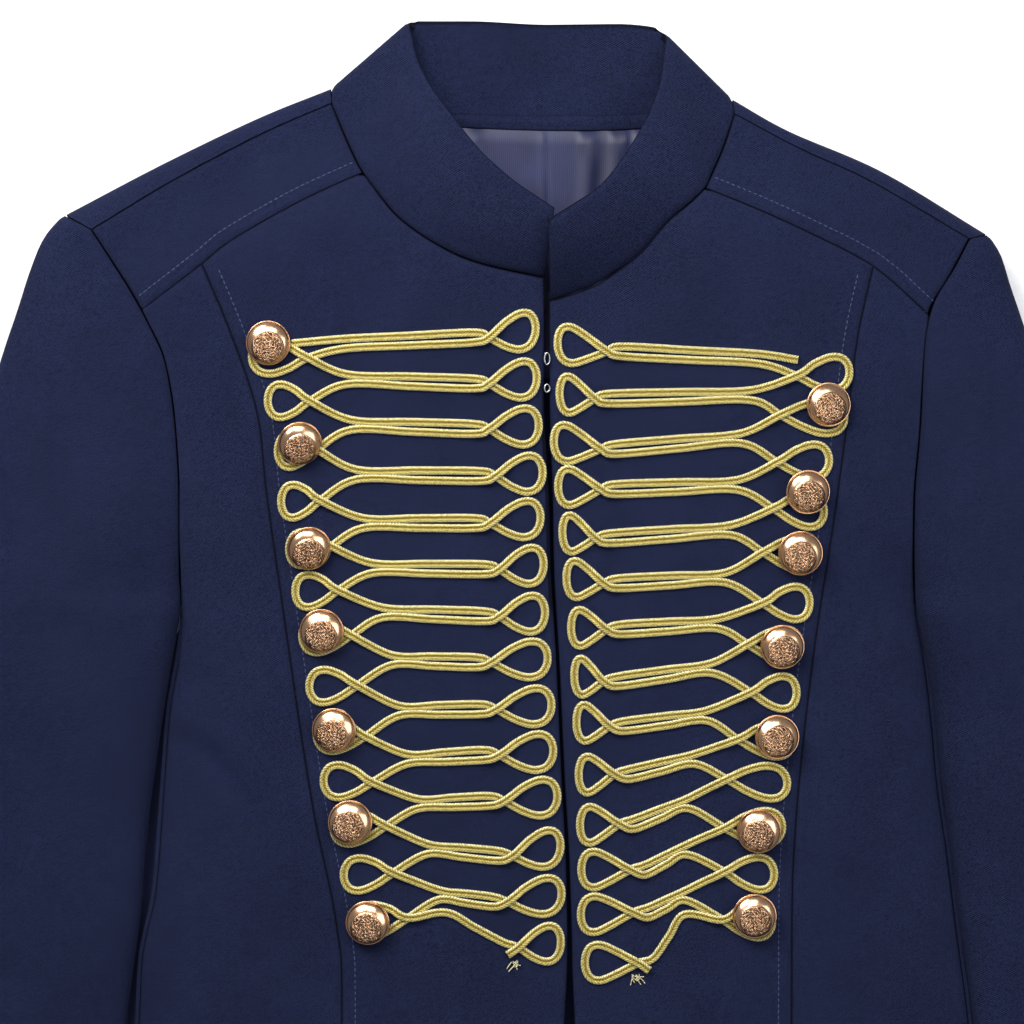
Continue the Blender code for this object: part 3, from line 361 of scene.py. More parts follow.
def makeGoldBraid():
    # soutache of metallised yarn: two cords wrapped in slanting flat threads, with a painted highlight along their
    # outer edges and painted shade in the groove between them, broken up by painted shade between the wrapping threads
    # and painted glints on single threads
    made, tree, shader = startMaterial("goldSoutacheYarn")
    where = addNode(tree, "ShaderNodeUVMap", {"uv_map": "braidRun"}).outputs["UV"]
    parts = addNode(tree, "ShaderNodeSeparateXYZ", {}, {"Vector": where})
    outward = addNode(tree, "ShaderNodeMath", {"operation": "ABSOLUTE"}, {0: parts.outputs["Y"]})
    slant = addNode(tree, "ShaderNodeMath", {"operation": "MULTIPLY_ADD", 1: 0.9},
                    {0: outward.outputs[0], 2: parts.outputs["X"]})
    turns = addNode(tree, "ShaderNodeMath", {"operation": "MULTIPLY", 1: 2 * math.pi / gold["strokeMm"]},
                    {0: slant.outputs[0]})
    wave = addNode(tree, "ShaderNodeMath", {"operation": "SINE"}, {0: turns.outputs[0]})
    stretched = addNode(tree, "ShaderNodeMapping", {"Scale": (1.0, 1.7, 1.0)}, {"Vector": where})
    fleck = addNode(tree, "ShaderNodeTexNoise", {"Scale": 0.85, "Detail": 3.0, "Roughness": 0.75},
                    {"Vector": stretched.outputs[0]})
    threads = addNode(tree, "ShaderNodeMath", {"operation": "MULTIPLY_ADD", 1: 0.12},
                      {0: wave.outputs[0], 2: fleck.outputs["Fac"]})
    # across the braid: painted shade in the groove between the cords and a painted highlight along their outer edges,
    # over the yarn's own gold
    share = addNode(tree, "ShaderNodeMath", {"operation": "DIVIDE", 1: gold["halfWidthMm"]}, {0: outward.outputs[0]})
    across = addNode(tree, "ShaderNodeValToRGB", {}, {"Fac": share.outputs[0]},
                     ((0.1, gold["grooveShade"]), (0.92, gold["edge"]), (0.55, gold["thread"])))
    # painted shade between the wrapping threads, and painted highlights on them and on the flecks
    light = addNode(tree, "ShaderNodeValToRGB", {}, {"Fac": threads.outputs[0]},
                    ((0.38, gold["shadow"]), (0.6, "#FFFFFF")))
    colour = addNode(tree, "ShaderNodeMixRGB", {"blend_type": "MULTIPLY", "Fac": 0.85},
                     {1: across.outputs["Color"], 2: light.outputs["Color"]})
    bump = addNode(tree, "ShaderNodeBump", {"Strength": 0.8, "Distance": 0.0003}, {"Height": threads.outputs[0]})
    shader.inputs["Metallic"].default_value = 0.35
    shader.inputs["Roughness"].default_value = gold["roughness"]
    tree.links.new(colour.outputs["Color"], shader.inputs["Base Color"])
    tree.links.new(bump.outputs["Normal"], shader.inputs["Normal"])
    return made


roseGold = {"bright": "#E6B892", "hollowShadeColour": "#3E2415", "roughness": 0.19}


def makeRoseGold():
    # pressed brass with a rose gold plate: polished dome, with painted shade that makes it darker and duller in the
    # relief's hollows
    made, tree, shader = startMaterial("roseGoldPlatedBrass")
    place = addNode(tree, "ShaderNodeTexCoord").outputs["Object"]
    # painted shade: the plate's colour darkens in the relief's hollows
    hollowShade = addNode(tree, "ShaderNodeAttribute", {"attribute_name": "hollowShade"})
    haze = addNode(tree, "ShaderNodeTexNoise", {"Scale": 700.0, "Detail": 3.0}, {"Vector": place})
    colour = addNode(tree, "ShaderNodeMixRGB", {1: toLinear(roseGold["bright"]), 2: toLinear(roseGold["hollowShadeColour"])},
                     {0: hollowShade.outputs["Fac"]})
    rough = addNode(tree, "ShaderNodeMath", {"operation": "MULTIPLY_ADD", 1: 0.16, 2: roseGold["roughness"] - 0.05},
                    {0: haze.outputs["Fac"]})
    worked = addNode(tree, "ShaderNodeAttribute", {"attribute_name": "worked"})
    chased = addNode(tree, "ShaderNodeTexNoise", {"Scale": 1100.0, "Detail": 4.0, "Roughness": 0.7, "Distortion": 1.2},
                     {"Vector": place})
    depth = addNode(tree, "ShaderNodeMath", {"operation": "MULTIPLY"},
                    {0: chased.outputs["Fac"], 1: worked.outputs["Fac"]})
    bump = addNode(tree, "ShaderNodeBump", {"Strength": 0.9, "Distance": 0.0007}, {"Height": depth.outputs[0]})
    tree.links.new(bump.outputs["Normal"], shader.inputs["Normal"])
    shader.inputs["Metallic"].default_value = 1.0
    tree.links.new(colour.outputs["Color"], shader.inputs["Base Color"])
    tree.links.new(rough.outputs[0], shader.inputs["Roughness"])
    return made


def makeNickelWire():
    # nickel plated steel wire, drawn: fine lines along it
    made, tree, shader = startMaterial("nickelPlatedWire")
    place = addNode(tree, "ShaderNodeTexCoord").outputs["Object"]
    grain = addNode(tree, "ShaderNodeTexNoise", {"Scale": 1500.0, "Detail": 2.0}, {"Vector": place})
    colour = addNode(tree, "ShaderNodeValToRGB", {}, {"Fac": grain.outputs["Fac"]}, ((0.3, "#9A9CA3"), (0.7, "#D5D7DC")))
    shader.inputs["Metallic"].default_value = 1.0
    shader.inputs["Roughness"].default_value = 0.25
    tree.links.new(colour.outputs["Color"], shader.inputs["Base Color"])
    return made


def makeStitchThread():
    # polyester sewing thread, spun: a soft shine, a shade lighter than the cloth
    made, tree, shader = startMaterial("navySewingThread")
    place = addNode(tree, "ShaderNodeTexCoord").outputs["Object"]
    ply = addNode(tree, "ShaderNodeTexNoise", {"Scale": 2500.0, "Detail": 1.0}, {"Vector": place})
    colour = addNode(tree, "ShaderNodeValToRGB", {}, {"Fac": ply.outputs["Fac"]}, ((0.3, "#2C3558"), (0.7, "#465078")))
    shader.inputs["Roughness"].default_value = 0.55
    tree.links.new(colour.outputs["Color"], shader.inputs["Base Color"])
    return made


suitingCloth = makeSuiting()
satinCloth = makeSatin()
goldYarn = makeGoldBraid()
roseMetal = makeRoseGold()
nickelWire = makeNickelWire()
stitchThread = makeStitchThread()
print("materials made")


# Cloth shells

def addMesh(name, points, faces, finish, smooth=True):
    # a mesh object at the origin, with its place in its points
    moved = (np.array(points, float) + (planMove[0], planMove[1], 0.0)) * 0.001
    mesh = bpy.data.meshes.new(name)
    mesh.from_pydata(moved.tolist(), [], faces)
    mesh.materials.append(finish)
    if smooth:
        mesh.shade_smooth()
    piece = bpy.data.objects.new(name, mesh)
    bpy.context.collection.objects.link(piece)
    return piece


def setSeamShade(piece, values):
    # how close each point is to a seam, for the painted shade there
    seamShade = piece.data.attributes.new("seamShadeNear", "FLOAT", "POINT")
    seamShade.data.foreach_set("value", np.asarray(values, float))


def gridFaces(rows, columns, flip, first=0):
    faces = []
    for i in range(rows - 1):
        for j in range(columns - 1):
            a = first + i * columns + j
            face = (a, a + 1, a + columns + 1, a + columns)
            faces.append(face[::-1] if flip else face)
    return faces


def closeShell(name, points, faces, wall, finish, level=(), seamShade=None):
    # a thin closed shell: the outer face, the inner face a wall behind it, and a rim between them
    points = np.array(points, float)
    corner = points[np.array(faces)]
    cross = np.cross(corner[:, 2] - corner[:, 0], corner[:, 3] - corner[:, 1])
    normals = np.zeros_like(points)
    for k in range(4):
        np.add.at(normals, np.array(faces)[:, k], cross)
    if len(level):
        normals[list(level), 2] = 0.0
    normals /= np.maximum(np.linalg.norm(normals, axis=1, keepdims=True), 1e-9)
    count = len(points)
    edges = {(a, b) for face in faces for a, b in zip(face, face[1:] + face[:1])}
    rim = [(b, a) for a, b in edges if (b, a) not in edges]
    inner = points - normals * wall
    inner[:, 2] = np.maximum(inner[:, 2], 0.0)
    solid = list(faces)
    solid += [tuple(i + count for i in reversed(face)) for face in faces]
    solid += [(a, b, b + count, a + count) for a, b in sorted(rim)]
    piece = addMesh(name, np.vstack([points, inner]), solid, finish)
    piece.data.set_sharp_from_angle(angle=math.radians(60))
    # how near each point is to a seam, for the painted seam shade
    seamShade = np.zeros(count) if seamShade is None else seamShade
    setSeamShade(piece, np.concatenate([seamShade, seamShade]))
    return piece


def coons(bottom, top, start, end, u, v):
    # a plan grid filled in from its four edges, read at the shares u across and v up
    u, v = u[None, :, None], v[:, None, None]
    across = (1 - u) * start[:, None] + u * end[:, None]
    along = (1 - v) * bottom[None] + v * top[None]
    corners = ((1 - u) * (1 - v) * bottom[0] + u * (1 - v) * bottom[-1]
               + (1 - u) * v * top[0] + u * v * top[-1])
    return across + along - corners


def insetGrid(grid):
    # draws a grid's four edges in by the seam gap
    grid = grid.copy()
    for edge, inner in ((0, 1), (-1, -2)):
        step = grid[inner] - grid[edge]
        grid[edge] += jacket["seamGap"] * step / np.maximum(np.linalg.norm(step, axis=-1, keepdims=True), 1e-9)
    for edge, inner in ((0, 1), (-1, -2)):
        step = grid[:, inner] - grid[:, edge]
        grid[:, edge] += jacket["seamGap"] * step / np.maximum(np.linalg.norm(step, axis=-1, keepdims=True), 1e-9)
    return grid


def gridNormals(grid, flip):
    normal = np.cross(np.gradient(grid, axis=1), np.gradient(grid, axis=0))
    normal /= np.maximum(np.linalg.norm(normal, axis=-1, keepdims=True), 1e-9)
    return -normal if flip else normal


def seamCloseness(grid, sides="btse"):
    # 1 at a seam, falling to 0 away from it; sides are bottom, top, start and end
    up = np.linalg.norm(np.diff(grid, axis=0), axis=2)
    across = np.linalg.norm(np.diff(grid, axis=1), axis=2)
    rows, columns = grid.shape[:2]
    fromBottom = np.vstack([np.zeros((1, columns)), np.cumsum(up, axis=0)])
    fromStart = np.hstack([np.zeros((rows, 1)), np.cumsum(across, axis=1)])
    ways = {"b": fromBottom, "t": fromBottom[-1:] - fromBottom, "s": fromStart, "e": fromStart[:, -1:] - fromStart}
    away = np.min([ways[side] for side in sides], axis=0) if sides else np.full((rows, columns), 99.0)
    return np.exp(-(away / jacket["seamReach"]) ** 2)


def clothFromGrid(name, grid, flip, wall, finish, creases=None, seams="btse", level=()):
    # a shell whose edges roll down into the seams, with its creases
    normal = gridNormals(grid, flip)
    near = seamCloseness(grid, seams)
    grid = insetGrid(grid) - normal * (jacket["seamDip"] * near)[..., None]
    if creases is not None:
        grid = grid + normal * creases[..., None]
    grid[..., 2] = np.maximum(grid[..., 2], 0.0)
    rows, columns = grid.shape[:2]
    return closeShell(name, grid.reshape(-1, 3), gridFaces(rows, columns, flip), wall, finish, level, near.reshape(-1))


# The cut of each piece of cloth: width and length in millimetres and its area in square metres.
cuts = {
    "backCentre": (225, 590, 0.115), "backSideRight": (125, 545, 0.058), "backSideLeft": (125, 545, 0.058),
    "frontCentreRight": (150, 540, 0.062), "frontCentreLeft": (150, 540, 0.062),
    "frontSideRight": (110, 520, 0.044), "frontSideLeft": (110, 520, 0.044),
    "frontYokeRight": (130, 60, 0.0055), "frontYokeLeft": (130, 60, 0.0055),
    "sleeveUpperRight": (165, 610, 0.075), "sleeveUpperLeft": (165, 610, 0.075),
    "sleeveUnderRight": (110, 580, 0.05), "sleeveUnderLeft": (110, 580, 0.05),
    "standCollar": (470, 60, 0.021), "neckFacing": (150, 12, 0.0012), "liningBack": (180, 110, 0.0185),
}


def declareCloth(piece, node):
    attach(piece, "root")
    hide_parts(node)
    area = sum(face.area for face in piece.data.polygons) / 2
    width, length, cut = cuts[piece.name]
    print(f"{piece.name}: {area:.4f} square metres of cloth, cut {cut:.4f}")
    return piece


def seamLines(side):
    # the part's own sampling of the lines that neighbouring pieces share
    corner = side["yokeCorner"]
    princess = smoothLine(side["princess"], 110)
    yoke = smoothLine(side["yokeSeam"], 60)
    split = int(np.argmin(np.linalg.norm(yoke - princess[0], axis=1)))
    shoulder = smoothLine(side["shoulder"], 60)
    step = int(np.argmin(np.abs(shoulder[:, 2] - side["shoulder"][1][2])))
    return {
        "princess": princess,
        "yokeCentre": np.vstack([yoke[:split:6], princess[:1]]),
        "yokeSide": np.vstack([princess[:1], yoke[split + 6:-3:6], yoke[-1:]]),
        "neckYoke": side["neckline"][:corner + 1],
        "neckFront": side["neckline"][corner:],
        "shoulderInner": shoulder[:step + 1],
        "shoulderOuter": shoulder[step:],
    }


def lineLength(points):
    fine, _ = splineThrough(points, 12)
    return float(np.linalg.norm(np.diff(fine, axis=0), axis=1).sum())


def heightGrid(plan):
    return np.dstack([plan, frontHeight(plan[..., 0], plan[..., 1])])


def makeFronts(side):
    lines, sign, word = seamLines(side), side["sign"], side["word"]
    flip, node = sign < 0, side["word"].lower()
    made = []
    princess = lines["princess"][::-1]
    topY = lines["neckFront"][-1][1]
    v = seamShares(505, jacket["gridStep"])
    y = jacket["hemY"] + (topY - jacket["hemY"]) * v
    centre = np.stack([glide(jacket["centreFront"], y) + sign * glide(jacket["centreFront"], y, 2), y], axis=1)
    neck, yoke = lines["neckFront"][::-1], lines["yokeCentre"]
    neckShare = lineLength(neck) / (lineLength(neck) + lineLength(yoke))
    u = seamShares(lineLength(neck) + lineLength(yoke), jacket["gridStep"])
    top = np.vstack([alongLine(neck, u[u <= neckShare] / neckShare),
                     alongLine(yoke, (u[u > neckShare] - neckShare) / (1 - neckShare))])
    top[0] = centre[-1]
    outer = alongLine(princess, v)
    hem = centre[0] + (outer[0] - centre[0]) * u[:, None]
    plan = coons(hem, top, centre, outer, u, v)
    lift = creaseLift(plan[..., 0], plan[..., 1], frontCreases)
    made.append(clothFromGrid(f"frontCentre{word}", heightGrid(plan), flip, jacket["wall"], suitingCloth, lift))
    declareCloth(made[-1], f"front_centre_{node}")

    topLine = lines["yokeSide"]
    u = seamShares(100, jacket["gridStep"])
    v = seamShares(500, jacket["gridStep"])
    y = jacket["hemY"] + (side["yokeSeam"][-1][1] - jacket["hemY"]) * v
    outer = np.stack([edgeX(side, y), y], axis=1)
    top = alongLine(topLine, u)
    outer[-1] = top[-1]
    inner = alongLine(princess, v)
    hem = inner[0] + (outer[0] - inner[0]) * u[:, None]
    plan = coons(hem, top, inner, outer, u, v)
    lift = creaseLift(plan[..., 0], plan[..., 1], frontCreases)
    lift[:, -4:] *= np.linspace(0.8, 0.0, 4)
    columns = len(u)
    level = [i * columns + columns - 1 for i in range(len(v)) if plan[i, -1, 1] < jacket["underarmY"] + 4]
    grid = heightGrid(plan)
    made.append(clothFromGrid(f"frontSide{word}", grid, flip, jacket["wall"], suitingCloth, lift, "bts", level))
    declareCloth(made[-1], f"front_side_{node}")

    bottomLine = np.vstack([lines["yokeCentre"], lines["yokeSide"][1:]])
    topLine = np.vstack([lines["shoulderInner"], lines["shoulderOuter"][1:]])[:, 2:4]
    u = seamShares(lineLength(bottomLine), jacket["gridStep"])
    v = seamShares(36, 3.0)
    bottom, top = alongLine(bottomLine, u), alongLine(topLine, u)
    start = alongLine(lines["neckYoke"][::-1], v)
    y = bottom[-1][1] + (top[-1][1] - bottom[-1][1]) * v
    end = np.stack([edgeX(side, y), y], axis=1)
    end[0], end[-1] = bottom[-1], top[-1]
    plan = coons(bottom, top, start, end, u, v)
    lift = creaseLift(plan[..., 0], plan[..., 1], frontCreases)
    made.append(clothFromGrid(f"frontYoke{word}", heightGrid(plan), flip, jacket["wall"], suitingCloth, lift))
    declareCloth(made[-1], f"front_yoke_{node}")
    return made


rollTurns = [math.radians(angle) for angle in range(-90, 91, 15)]


def rollRows(shoulder, turns):
    # the back's strip over one shoulder, from the surface round to the shoulder seam
    rows = []
    for turn in turns:
        plan = shoulder[:, 2:4] + (shoulder[:, 0:2] - shoulder[:, 2:4]) * math.cos(turn)
        rows.append(np.hstack([plan, shoulder[:, 4:5] / 2 * (1 + math.sin(turn))]))
    return rows


def makeBack():
    # the centre back: a flat grid with a strip at each end of its top that rolls over the shoulder
    made = []
    inner = {side["sign"]: smoothLine(seamLines(side)["shoulderInner"], 9) for side in (right, left)}
    neck = smoothLine(jacket["backNeck"], 44)
    neck[0], neck[-1] = inner[-1][0, 2:4], inner[1][0, 2:4]
    topLine = np.vstack([inner[-1][:0:-1, 2:4], neck, inner[1][1:, 2:4]])
    columns = len(topLine)
    v = seamShares(570, jacket["gridStep"] * 1.5)
    u = np.linspace(0, 1, columns)
    hem = np.stack([right["hemInner"] + (left["hemInner"] - right["hemInner"]) * u, np.full(columns, jacket["hemY"])], axis=1)
    plan = hem[None] + (topLine - hem)[None] * v[:, None, None]
    lift = -creaseLift(plan[..., 0], plan[..., 1], backCreases) * np.minimum(1, (1 - v) * 12)[:, None]
    grid = insetGrid(np.dstack([plan, np.maximum(lift, 0.0)]))
    points = [tuple(p) for p in grid.reshape(-1, 3)]
    faces = gridFaces(len(v), columns, True)
    for sign, order in ((-1, range(9, -1, -1)), (1, range(10))):
        first = 0 if sign < 0 else columns - 10
        below = [(len(v) - 1) * columns + first + i for i in range(10)]
        for row in rollRows(inner[sign], rollTurns)[1:]:
            here = [len(points) + i for i in range(10)]
            points += [tuple(row[i]) for i in order]
            faces += [(below[i], here[i], here[i + 1], below[i + 1]) for i in range(9)]
            below = here
    made.append(closeShell("backCentre", points, faces, jacket["wall"], suitingCloth))
    declareCloth(made[-1], "back_centre")

    for side in (right, left):
        sign, word = side["sign"], side["word"]
        shoulder = smoothLine(seamLines(side)["shoulderOuter"], 26)
        count = len(shoulder)
        u = 1 - (1 - np.linspace(0, 1, count)) ** 1.5
        v = seamShares(550, jacket["gridStep"] * 1.5)
        shoulder = alongLine(seamLines(side)["shoulderOuter"], u)
        start = np.array((side["hemInner"], jacket["hemY"])) + (shoulder[0, 2:4] - (side["hemInner"], jacket["hemY"])) * v[:, None]
        y = jacket["hemY"] + (shoulder[-1, 3] - jacket["hemY"]) * v
        end = np.stack([edgeX(side, y), y], axis=1)
        end[-1] = shoulder[-1, 2:4]
        hem = start[0] + (end[0] - start[0]) * u[:, None]
        plan = coons(hem, shoulder[:, 2:4], start, end, u, v)
        x, y = plan[..., 0], plan[..., 1]
        under = jacket["underarmY"]
        rim = np.where(y < under + 20, glide(jacket["edgeHeights"], y), 0.0)
        rim = rim * np.where(y > under, np.clip((under + 20 - y) / 20, 0.0, 1.0), 1.0)
        turn = np.clip(1 - np.abs(edgeX(side, y) - x) / np.maximum(rim, 0.1), 0.0, 1.0)
        lift = -creaseLift(x, y, backCreases) * np.minimum(1, (1 - v) * 12)[:, None] * np.minimum(1, (1 - u) * 6)
        height = np.maximum(lift, 0.0) + rim * (1 - np.sqrt(1 - turn * turn))
        inside = np.abs(edgeX(side, y) - x)
        low = np.clip((under - y) / 25, 0, 1) * np.exp(-((inside - 3.2) / 2.4) ** 2)
        plan[..., 0] += sign * jacket["sideSpread"] * low  # the fold's lower half lies out under the sleeve
        grid = np.vstack([np.dstack([plan, height]), np.array(rollRows(shoulder, rollTurns)[1:])])
        grid = insetGrid(grid)
        level = [i * count + count - 1 for i in range(len(grid)) if grid[i, -1, 1] < under + 4]
        made.append(closeShell(f"backSide{word}", grid.reshape(-1, 3), gridFaces(len(grid), count, sign > 0),
                               jacket["wall"], suitingCloth, level))
        declareCloth(made[-1], f"back_side_{word.lower()}")
    return made


sleeve = {
    "crowns": ((-457, 13), (-300, 19), (-150, 25), (-43, 29), (60, 29), (110, 24), (130, 21)),
    "starts": ((-43, 180), (-15, 160), (60, 135), (126, 92)),
    "armholeEase": 0.25,
    "outerSeam": -35.0,     # degrees past the outer edge, underneath
    "upperColumns": 30,
    "underColumns": 18,
}


def sleeveRing(inner, outer, angles, start, crown, frontEdge):
    # one ring of a sleeve; the angle runs from start at the top of the inner edge to -start
    turn, first = np.radians(angles), math.radians(start)
    share = (np.cos(turn) - math.cos(first)) / (1 - math.cos(first))
    plan = inner + (outer - inner) * share[:, None]
    whole = min(0.42 * crown, float(glide(jacket["edgeHeights"], -60)) + 3.0)
    blend = np.clip((start - 140) / 25, 0, 1)
    blend = blend * blend * (3 - 2 * blend)
    middle = 0.5 * crown + (whole - 0.5 * crown) * blend
    closing = np.clip((start - 165) / 15, 0, 1) ** 2
    sine, sineFirst = np.sin(turn), max(math.sin(first), 0.0)
    upper = middle + (crown - middle) * np.maximum(sine, 0) ** 0.7
    upper = upper + (frontEdge - (middle + (crown - middle) * sineFirst**0.7)) * (1 - share) ** 2
    lower = middle * (1 - np.minimum(1.0, 1.12 * np.abs(sine) ** 0.5))
    atEdge = middle * (1 - min(1.0, 1.12 * abs(math.sin(first)) ** 0.5))
    lower = lower + (frontEdge * closing - atEdge) * (1 - share) ** 6
    return np.column_stack([plan, np.maximum(np.where(sine >= 0, upper, lower), 0.0)])


def makeSleeves(side):
    sign, word = side["sign"], side["word"]
    topY = side["shoulder"][-1][3]
    armhole = [(edgeX(side, y) + sign * sleeve["armholeEase"], y) for y in np.linspace(jacket["underarmY"], topY, 13)]
    tube = [(float(glide(side["sleeveInner"], y)), y) for y in np.linspace(-457, jacket["underarmY"], 13)[:-1]]
    v = seamShares(600, jacket["gridStep"])
    inner = alongLine(np.array(tube + armhole)[::-1], v)
    outer = alongLine(side["sleeveOuter"], v)
    rings = {"Upper": [], "Under": []}
    for a, b in zip(inner, outer):
        start, crown = float(glide(sleeve["starts"], a[1])), float(glide(sleeve["crowns"], a[1]))
        edge = min(float(glide(jacket["edgeHeights"], a[1])), crown)
        ease = np.linspace(0, 1, sleeve["upperColumns"])
        ease = ease + 0.07 * np.sin(2 * math.pi * ease) * -1
        rings["Upper"].append(sleeveRing(a, b, start + (sleeve["outerSeam"] - start) * ease, start, crown, edge))
        under = np.linspace(sleeve["outerSeam"], -start, sleeve["underColumns"])
        rings["Under"].append(sleeveRing(a, b, under, start, crown, edge))
    made = []
    for part, rows in rings.items():
        grid = np.array(rows)
        columns = grid.shape[1]
        whole = [i for i, a in enumerate(inner) if a[1] < jacket["underarmY"] + 4]
        level = [i * columns + (0 if part == "Upper" else columns - 1) for i in whole]
        lift = creaseLift(grid[..., 0], grid[..., 1], sleeveCreases)
        lift = lift * (1.0 if part == "Upper" else -0.3)
        ends = np.sin(math.pi * np.linspace(0, 1, columns)) ** 0.35
        lift = lift * ends[None] * np.clip(np.arange(len(grid)) / 8, 0, 1)[:, None]
        made.append(clothFromGrid(f"sleeve{part}{word}", grid, sign > 0, jacket["wall"], suitingCloth, lift,
                                  "bts" if part == "Upper" else "b", level))
        declareCloth(made[-1], f"sleeve_{part.lower()}_{word.lower()}")
    return made


collarTop = (  # column along the ring, x, y, z; column 0 is the wearer's right front end
    (0, 13.4, 133.6, 38.5), (2, -5.8, 146.9, 38), (4, -18.7, 158.9, 35), (6, -33.5, 178, 29),
    (8, -43.0, 192, 22), (10, -47.5, 202, 16), (12, -50.0, 212, 12), (15, -51.8, 220.5, 6),
    (18, -48.0, 221.5, 0), (20, -24, 221.5, 0), (23, 9.8, 220.0, 0), (26, 42.7, 220.3, 0),
    (28, 59.5, 218.5, 0), (31, 64.2, 214.0, 6), (34, 62.8, 205, 12), (36, 61.5, 195, 17),
    (38, 57, 181, 23), (40, 47, 162, 30), (42, 33.8, 144.2, 37), (44, 22, 135, 43),
    (46, 10.7, 127.3, 46),
)


def collarBase():
    # the ring along which the collar is sewn, at the part's own 47 columns
    coarse = [math.radians(angle) for angle in (-90, -60, -30, 0, 30, 60, 90)]
    halves = []
    for side in (right, left):
        lines = seamLines(side)
        front = smoothLine(lines["neckFront"], 8)[::-1]
        yoke = smoothLine(lines["neckYoke"], 5)[-2::-1]
        half = [(x, y, float(frontHeight(x, y))) for x, y in np.vstack([front, yoke])]
        half += [tuple(row[0]) for row in rollRows(lines["shoulderInner"], coarse)[-2::-1]]
        halves.append(half)
    back = [(x, y, 0.0) for x, y in smoothLine(jacket["backNeck"], 8)[1:-1]]
    return np.array(halves[0] + back + halves[1][::-1])


def makeCollar():
    base = collarBase()
    ring, index = splineThrough(base, 4)
    ring[:, 2] = np.maximum(ring[:, 2], 0.0)
    column = index * 46.0 / index[-1]
    top = np.stack([glide(collarTop, column, k) for k in (1, 2, 3)], axis=1)
    toward = top - ring
    toward /= np.linalg.norm(toward, axis=1, keepdims=True)
    ring = ring + toward * 0.15
    v = seamShares(45, 3.5)
    swell = 3.0 * np.clip((ring[:, 2] - 8) / 14, 0, 1)
    grid = ring[None] + (top - ring)[None] * v[:, None, None]
    grid[..., 2] += np.sin(math.pi * v)[:, None] * swell[None]
    piece = clothFromGrid("standCollar", grid, True, jacket["collarWall"], suitingCloth)
    declareCloth(piece, "collar")
    return piece


lining = {
    "edge": ((-68, 177.0), (-30, 173.4), (9, 171.8), (45, 172.2), (76, 175.0)), "pleatX": 10.7, "gathers": ((26, 177), (40, 177), (46, 176), (51, 177), (56, 176)),
    "folds": ((30, 175, 26, 96), (44, 175, 34, 100), (56, 177, 42, 120), (-22, 172, -30, 90)),
}


def makeNeckLinings():
    # the facing strip under the back neck, and the back lining below it with its pleat and soft folds
    height = 3.6
    upper = smoothLine(((-62, 181.5), (-30, 179.6), (9, 178.6), (45, 179.2), (70, 180.5)), 40)
    middle = smoothLine(lining["edge"], 40)
    v = np.linspace(0, 1, 5)
    plan = middle[None] + (upper - middle)[None] * v[:, None, None]
    facing = clothFromGrid("neckFacing", np.dstack([plan, np.full(plan.shape[:2], height + 0.5)]), False,
                           jacket["liningWall"], suitingCloth)
    declareCloth(facing, "neck_facing")

    columns = 120
    top = smoothLine(lining["edge"], columns)
    bottom = np.stack([np.linspace(-82, 96, columns + 1), np.full(columns + 1, 60.0)], axis=1)
    v = np.linspace(0, 1, 46) ** 0.9
    plan = top[None] + (bottom - top)[None] * v[:, None, None]
    x, y = plan[..., 0], plan[..., 1]
    lift = 0.5 * np.exp(-((x - lining["pleatX"] + 2.2) / 2.0) ** 2) - 0.7 * np.exp(-((x - lining["pleatX"]) / 0.8) ** 2)
    for x0, y0, x1, y1 in lining["folds"]:
        away = x - (x0 + (x1 - x0) * (y - y0) / (y1 - y0))
        lift = lift + 1.5 * np.exp(-(away / 4.0) ** 2) * np.exp(-(np.maximum(y - y0 + 4, 0) / 6.0) ** 2)
    for n, (gx, gy) in enumerate(lining["gathers"]):
        lift = lift + 0.9 * np.exp(-((x - gx) / 1.6) ** 2) * np.exp(-((y - gy + 6) / 7.0) ** 2)
    lift = np.maximum(lift * (1 - np.exp(-((v[:, None] * 105) / 2.5))), -0.6)
    piece = clothFromGrid("liningBack", np.dstack([plan, height + lift]), True, jacket["liningWall"], satinCloth)
    declareCloth(piece, "lining_back")
    return [facing, piece]


clothPieces = makeBack()
for side in (right, left):
    clothPieces += makeFronts(side) + makeSleeves(side)
clothPieces.append(makeCollar())
clothPieces += makeNeckLinings()
print(f"{len(clothPieces)} pieces of cloth made")


# Geometry Nodes

def startTree(name, inputs):
    # a geometry tree with its sizes as named inputs; returns the tree, its input node and its output node
    tree = bpy.data.node_groups.new(name, "GeometryNodeTree")
    tree.interface.new_socket("Geometry", in_out="INPUT", socket_type="NodeSocketGeometry")
    for label, value in inputs.items():
        kind = "NodeSocketInt" if isinstance(value, int) else "NodeSocketFloat"
        tree.interface.new_socket(label, in_out="INPUT", socket_type=kind).default_value = value
    tree.interface.new_socket("Geometry", in_out="OUTPUT", socket_type="NodeSocketGeometry")
    return tree, tree.nodes.new("NodeGroupInput"), tree.nodes.new("NodeGroupOutput")


def runTree(piece, tree, inputs):
    # applies a tree to an object and gives back a plain mesh object under the same name
    change = piece.modifiers.new(tree.name, "NODES")
    change.node_group = tree
    for item in tree.interface.items_tree:
        if item.item_type == "SOCKET" and item.in_out == "INPUT" and item.name in inputs:
            change[item.identifier] = inputs[item.name]
    ready = piece.evaluated_get(bpy.context.evaluated_depsgraph_get())
    mesh = bpy.data.meshes.new_from_object(ready)
    name, old = piece.name, piece.data
    bpy.data.objects.remove(piece)
    bpy.data.curves.remove(old)
    mesh.name = name
    plain = bpy.data.objects.new(name, mesh)
    bpy.context.collection.objects.link(plain)
    return plain


